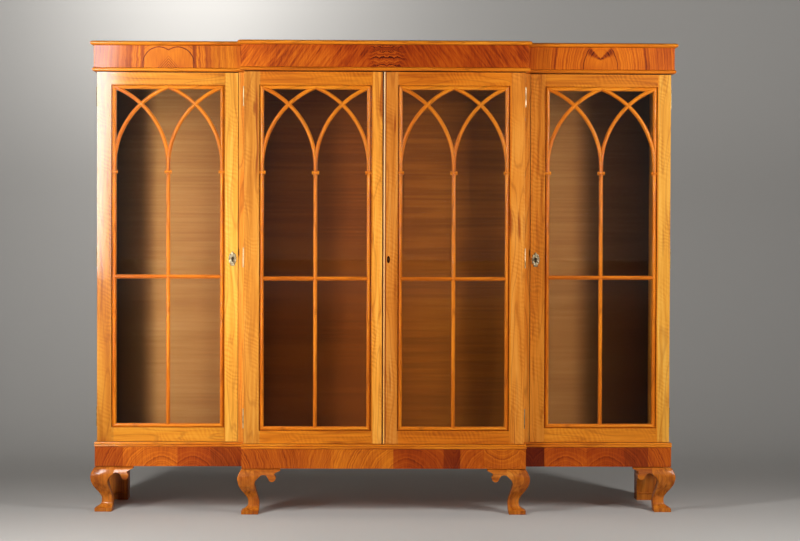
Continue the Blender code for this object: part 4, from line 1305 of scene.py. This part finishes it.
plateShape = {
    "width": 30 * mm,
    "height": 50 * mm,
    "drop": 2 * mm,              # the middle of the plate below the keyhole's eye
    "relief": 2.6 * mm,
    "rim": 0.5 * mm,
    "leaves": 11,
    "leafDepth": 0.17,
    "foot": (0.10, 0.22),        # how much the rim's lower tip stands out, and its width in radians
    "top": (0.06, 0.3),          # and the upper tip
    "collar": (0.16, 0.13, 0.75),     # where it swells on the way out, how wide and how high
    "leafStart": 0.22,           # share of the way out where the leaves begin
    "eye": 4.0 * mm,             # radius of the keyhole's round
    "slotWidth": 4.6 * mm,
    "slotDrop": 11 * mm,
}


def keyholeRadius(turn, eye, slotWidth, slotDrop):
    # from the eye's middle: the round, or downward the straight slot below it
    down = np.maximum(-np.sin(turn), 1e-6)
    side = np.maximum(np.abs(np.cos(turn)), 1e-6)
    slot = np.minimum(slotDrop / down, slotWidth / 2 / side)
    return np.where(np.sin(turn) < 0, np.maximum(eye, slot), eye)


def ovalRadius(turn, shape):
    # from an ellipse's middle to its rim
    a, b = shape["width"] / 2, shape["height"] / 2
    return 1 / np.sqrt((np.cos(turn) / a) ** 2 + (np.sin(turn) / b) ** 2)


def makeEscutcheon(door):
    # rings from the keyhole to a leafy rim. Rim radius = ellipse * (1 - leafDepth * |sin|), drawn
    # out at its lower and upper tip by a bell curve of the turn. Height = relief * (the higher of
    # a swelling collar round the keyhole and ribs that run down each leaf, and a slight swirl).
    p = plateShape
    low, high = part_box(door + "_escutcheon")
    x0, z0 = (low.x + high.x) / 2, (low.z + high.z) / 2
    turn = np.linspace(0, math.tau, 176, endpoint=False)
    share = np.linspace(0, 1, 15)[:, None]
    inner = keyholeRadius(turn, p["eye"], p["slotWidth"], p["slotDrop"])
    leafy = 1 - p["leafDepth"] * np.abs(np.sin(p["leaves"] * (turn - np.pi / 2) / 2)) ** 0.6
    tip = 1.0
    for middle, (proud, width) in ((1.5 * np.pi, p["foot"]), (0.5 * np.pi, p["top"])):
        tip = tip + proud * np.exp(-((turn - middle) / width) ** 2)
    outer = ovalRadius(turn, p) * leafy * tip
    radius = inner + (outer - inner) * share
    place, width, swell = p["collar"]
    collar = np.exp(-((share - place) / width) ** 2) * swell
    ribs = 0.5 + 0.5 * np.cos(p["leaves"] * (turn - np.pi / 2))
    outward = np.clip((share - p["leafStart"]) / (1 - p["leafStart"]), 0, 1)
    leaf = np.sin(np.pi * outward) ** 0.8 * (0.45 + 0.55 * ribs)
    swirl = 0.12 * np.sin(3 * p["leaves"] * turn + 14 * share) * share * (1 - share) * 4
    height = p["rim"] + p["relief"] * np.clip(np.maximum(collar, leaf * 0.8) + swirl, 0, 1)
    x = x0 + radius * np.cos(turn)
    z = z0 + radius * np.sin(turn) - p["drop"] * share
    front = pointGrid(x, high.y - height, z)
    rear = pointGrid(x[[-1, 0]], high.y, z[[-1, 0]])
    grid = np.swapaxes(np.concatenate([front, rear]), 0, 1)
    points, faces = gridFaces(grid, loopAlong=True)
    piece = makePiece(door + "_leaf_escutcheon", [(points, faces, points)], finish["plate"], 60)
    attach(piece, door + "_door")
    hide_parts(door + "_escutcheon")


for door in ("left_wing", "right_wing"):
    makeEscutcheon(door)


# Keyhole of the centre doors: an oval lining let into the meeting stile

liningShape = {
    "middle": (0.0130, 0.8345),
    "width": 10 * mm,
    "height": 21 * mm,
    "proud": 0.3 * mm,
    "deep": 4 * mm,
    "eye": 2.6 * mm,
    "slotWidth": 2.4 * mm,
    "slotDrop": 7.5 * mm,
    "rise": 2.5 * mm,            # the keyhole's eye above the middle of the oval
}


def makeLining():
    # rings from the oval's rim at the back, over its rounded face, and down into the keyhole
    s = liningShape
    turn = np.linspace(0, math.tau, 96, endpoint=False)
    rim = ovalRadius(turn, s)
    hole = keyholeRadius(turn, s["eye"], s["slotWidth"], s["slotDrop"])
    share = np.array([0, 0, 0.12, 0.5, 0.9, 1, 1])[:, None]
    forward = np.array([-s["deep"], 0, s["proud"], s["proud"], s["proud"], 0, -s["deep"]])[:, None]
    radius = rim + (hole - rim) * share
    x = s["middle"][0] + radius * np.cos(turn)
    z = s["middle"][1] + radius * np.sin(turn) + s["rise"] * share
    grid = np.swapaxes(pointGrid(x, case["centreFace"] - forward, z), 0, 1)
    points, faces = gridFaces(grid, loopAlong=True)
    piece = makePiece("centre_right_keyhole_lining", [(points, faces, points)], finish["lining"], 40)
    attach(piece, "centre_right_door")


makeLining()
print("escutcheons cast and the keyhole lined")

# the finish of a CAD node goes by a word in its name
wordFinish = {
    "_foot": "foot", "back_panel": "back", "hinge": "hinge", "lock": "lock", "escutcheon": "plate",
    "glass": "glass", "tracery": "level", "top_board": "level", "bottom_board": "level",
    "frieze_bead": "level", "door_frame": "door", **boardFinish,
}
for node, item in frame["nodes"].items():
    kind = next(kind for word, kind in wordFinish.items() if word in node)
    item.data.materials.clear()
    item.data.materials.append(finish[kind])
print("finishes laid on the CAD nodes")
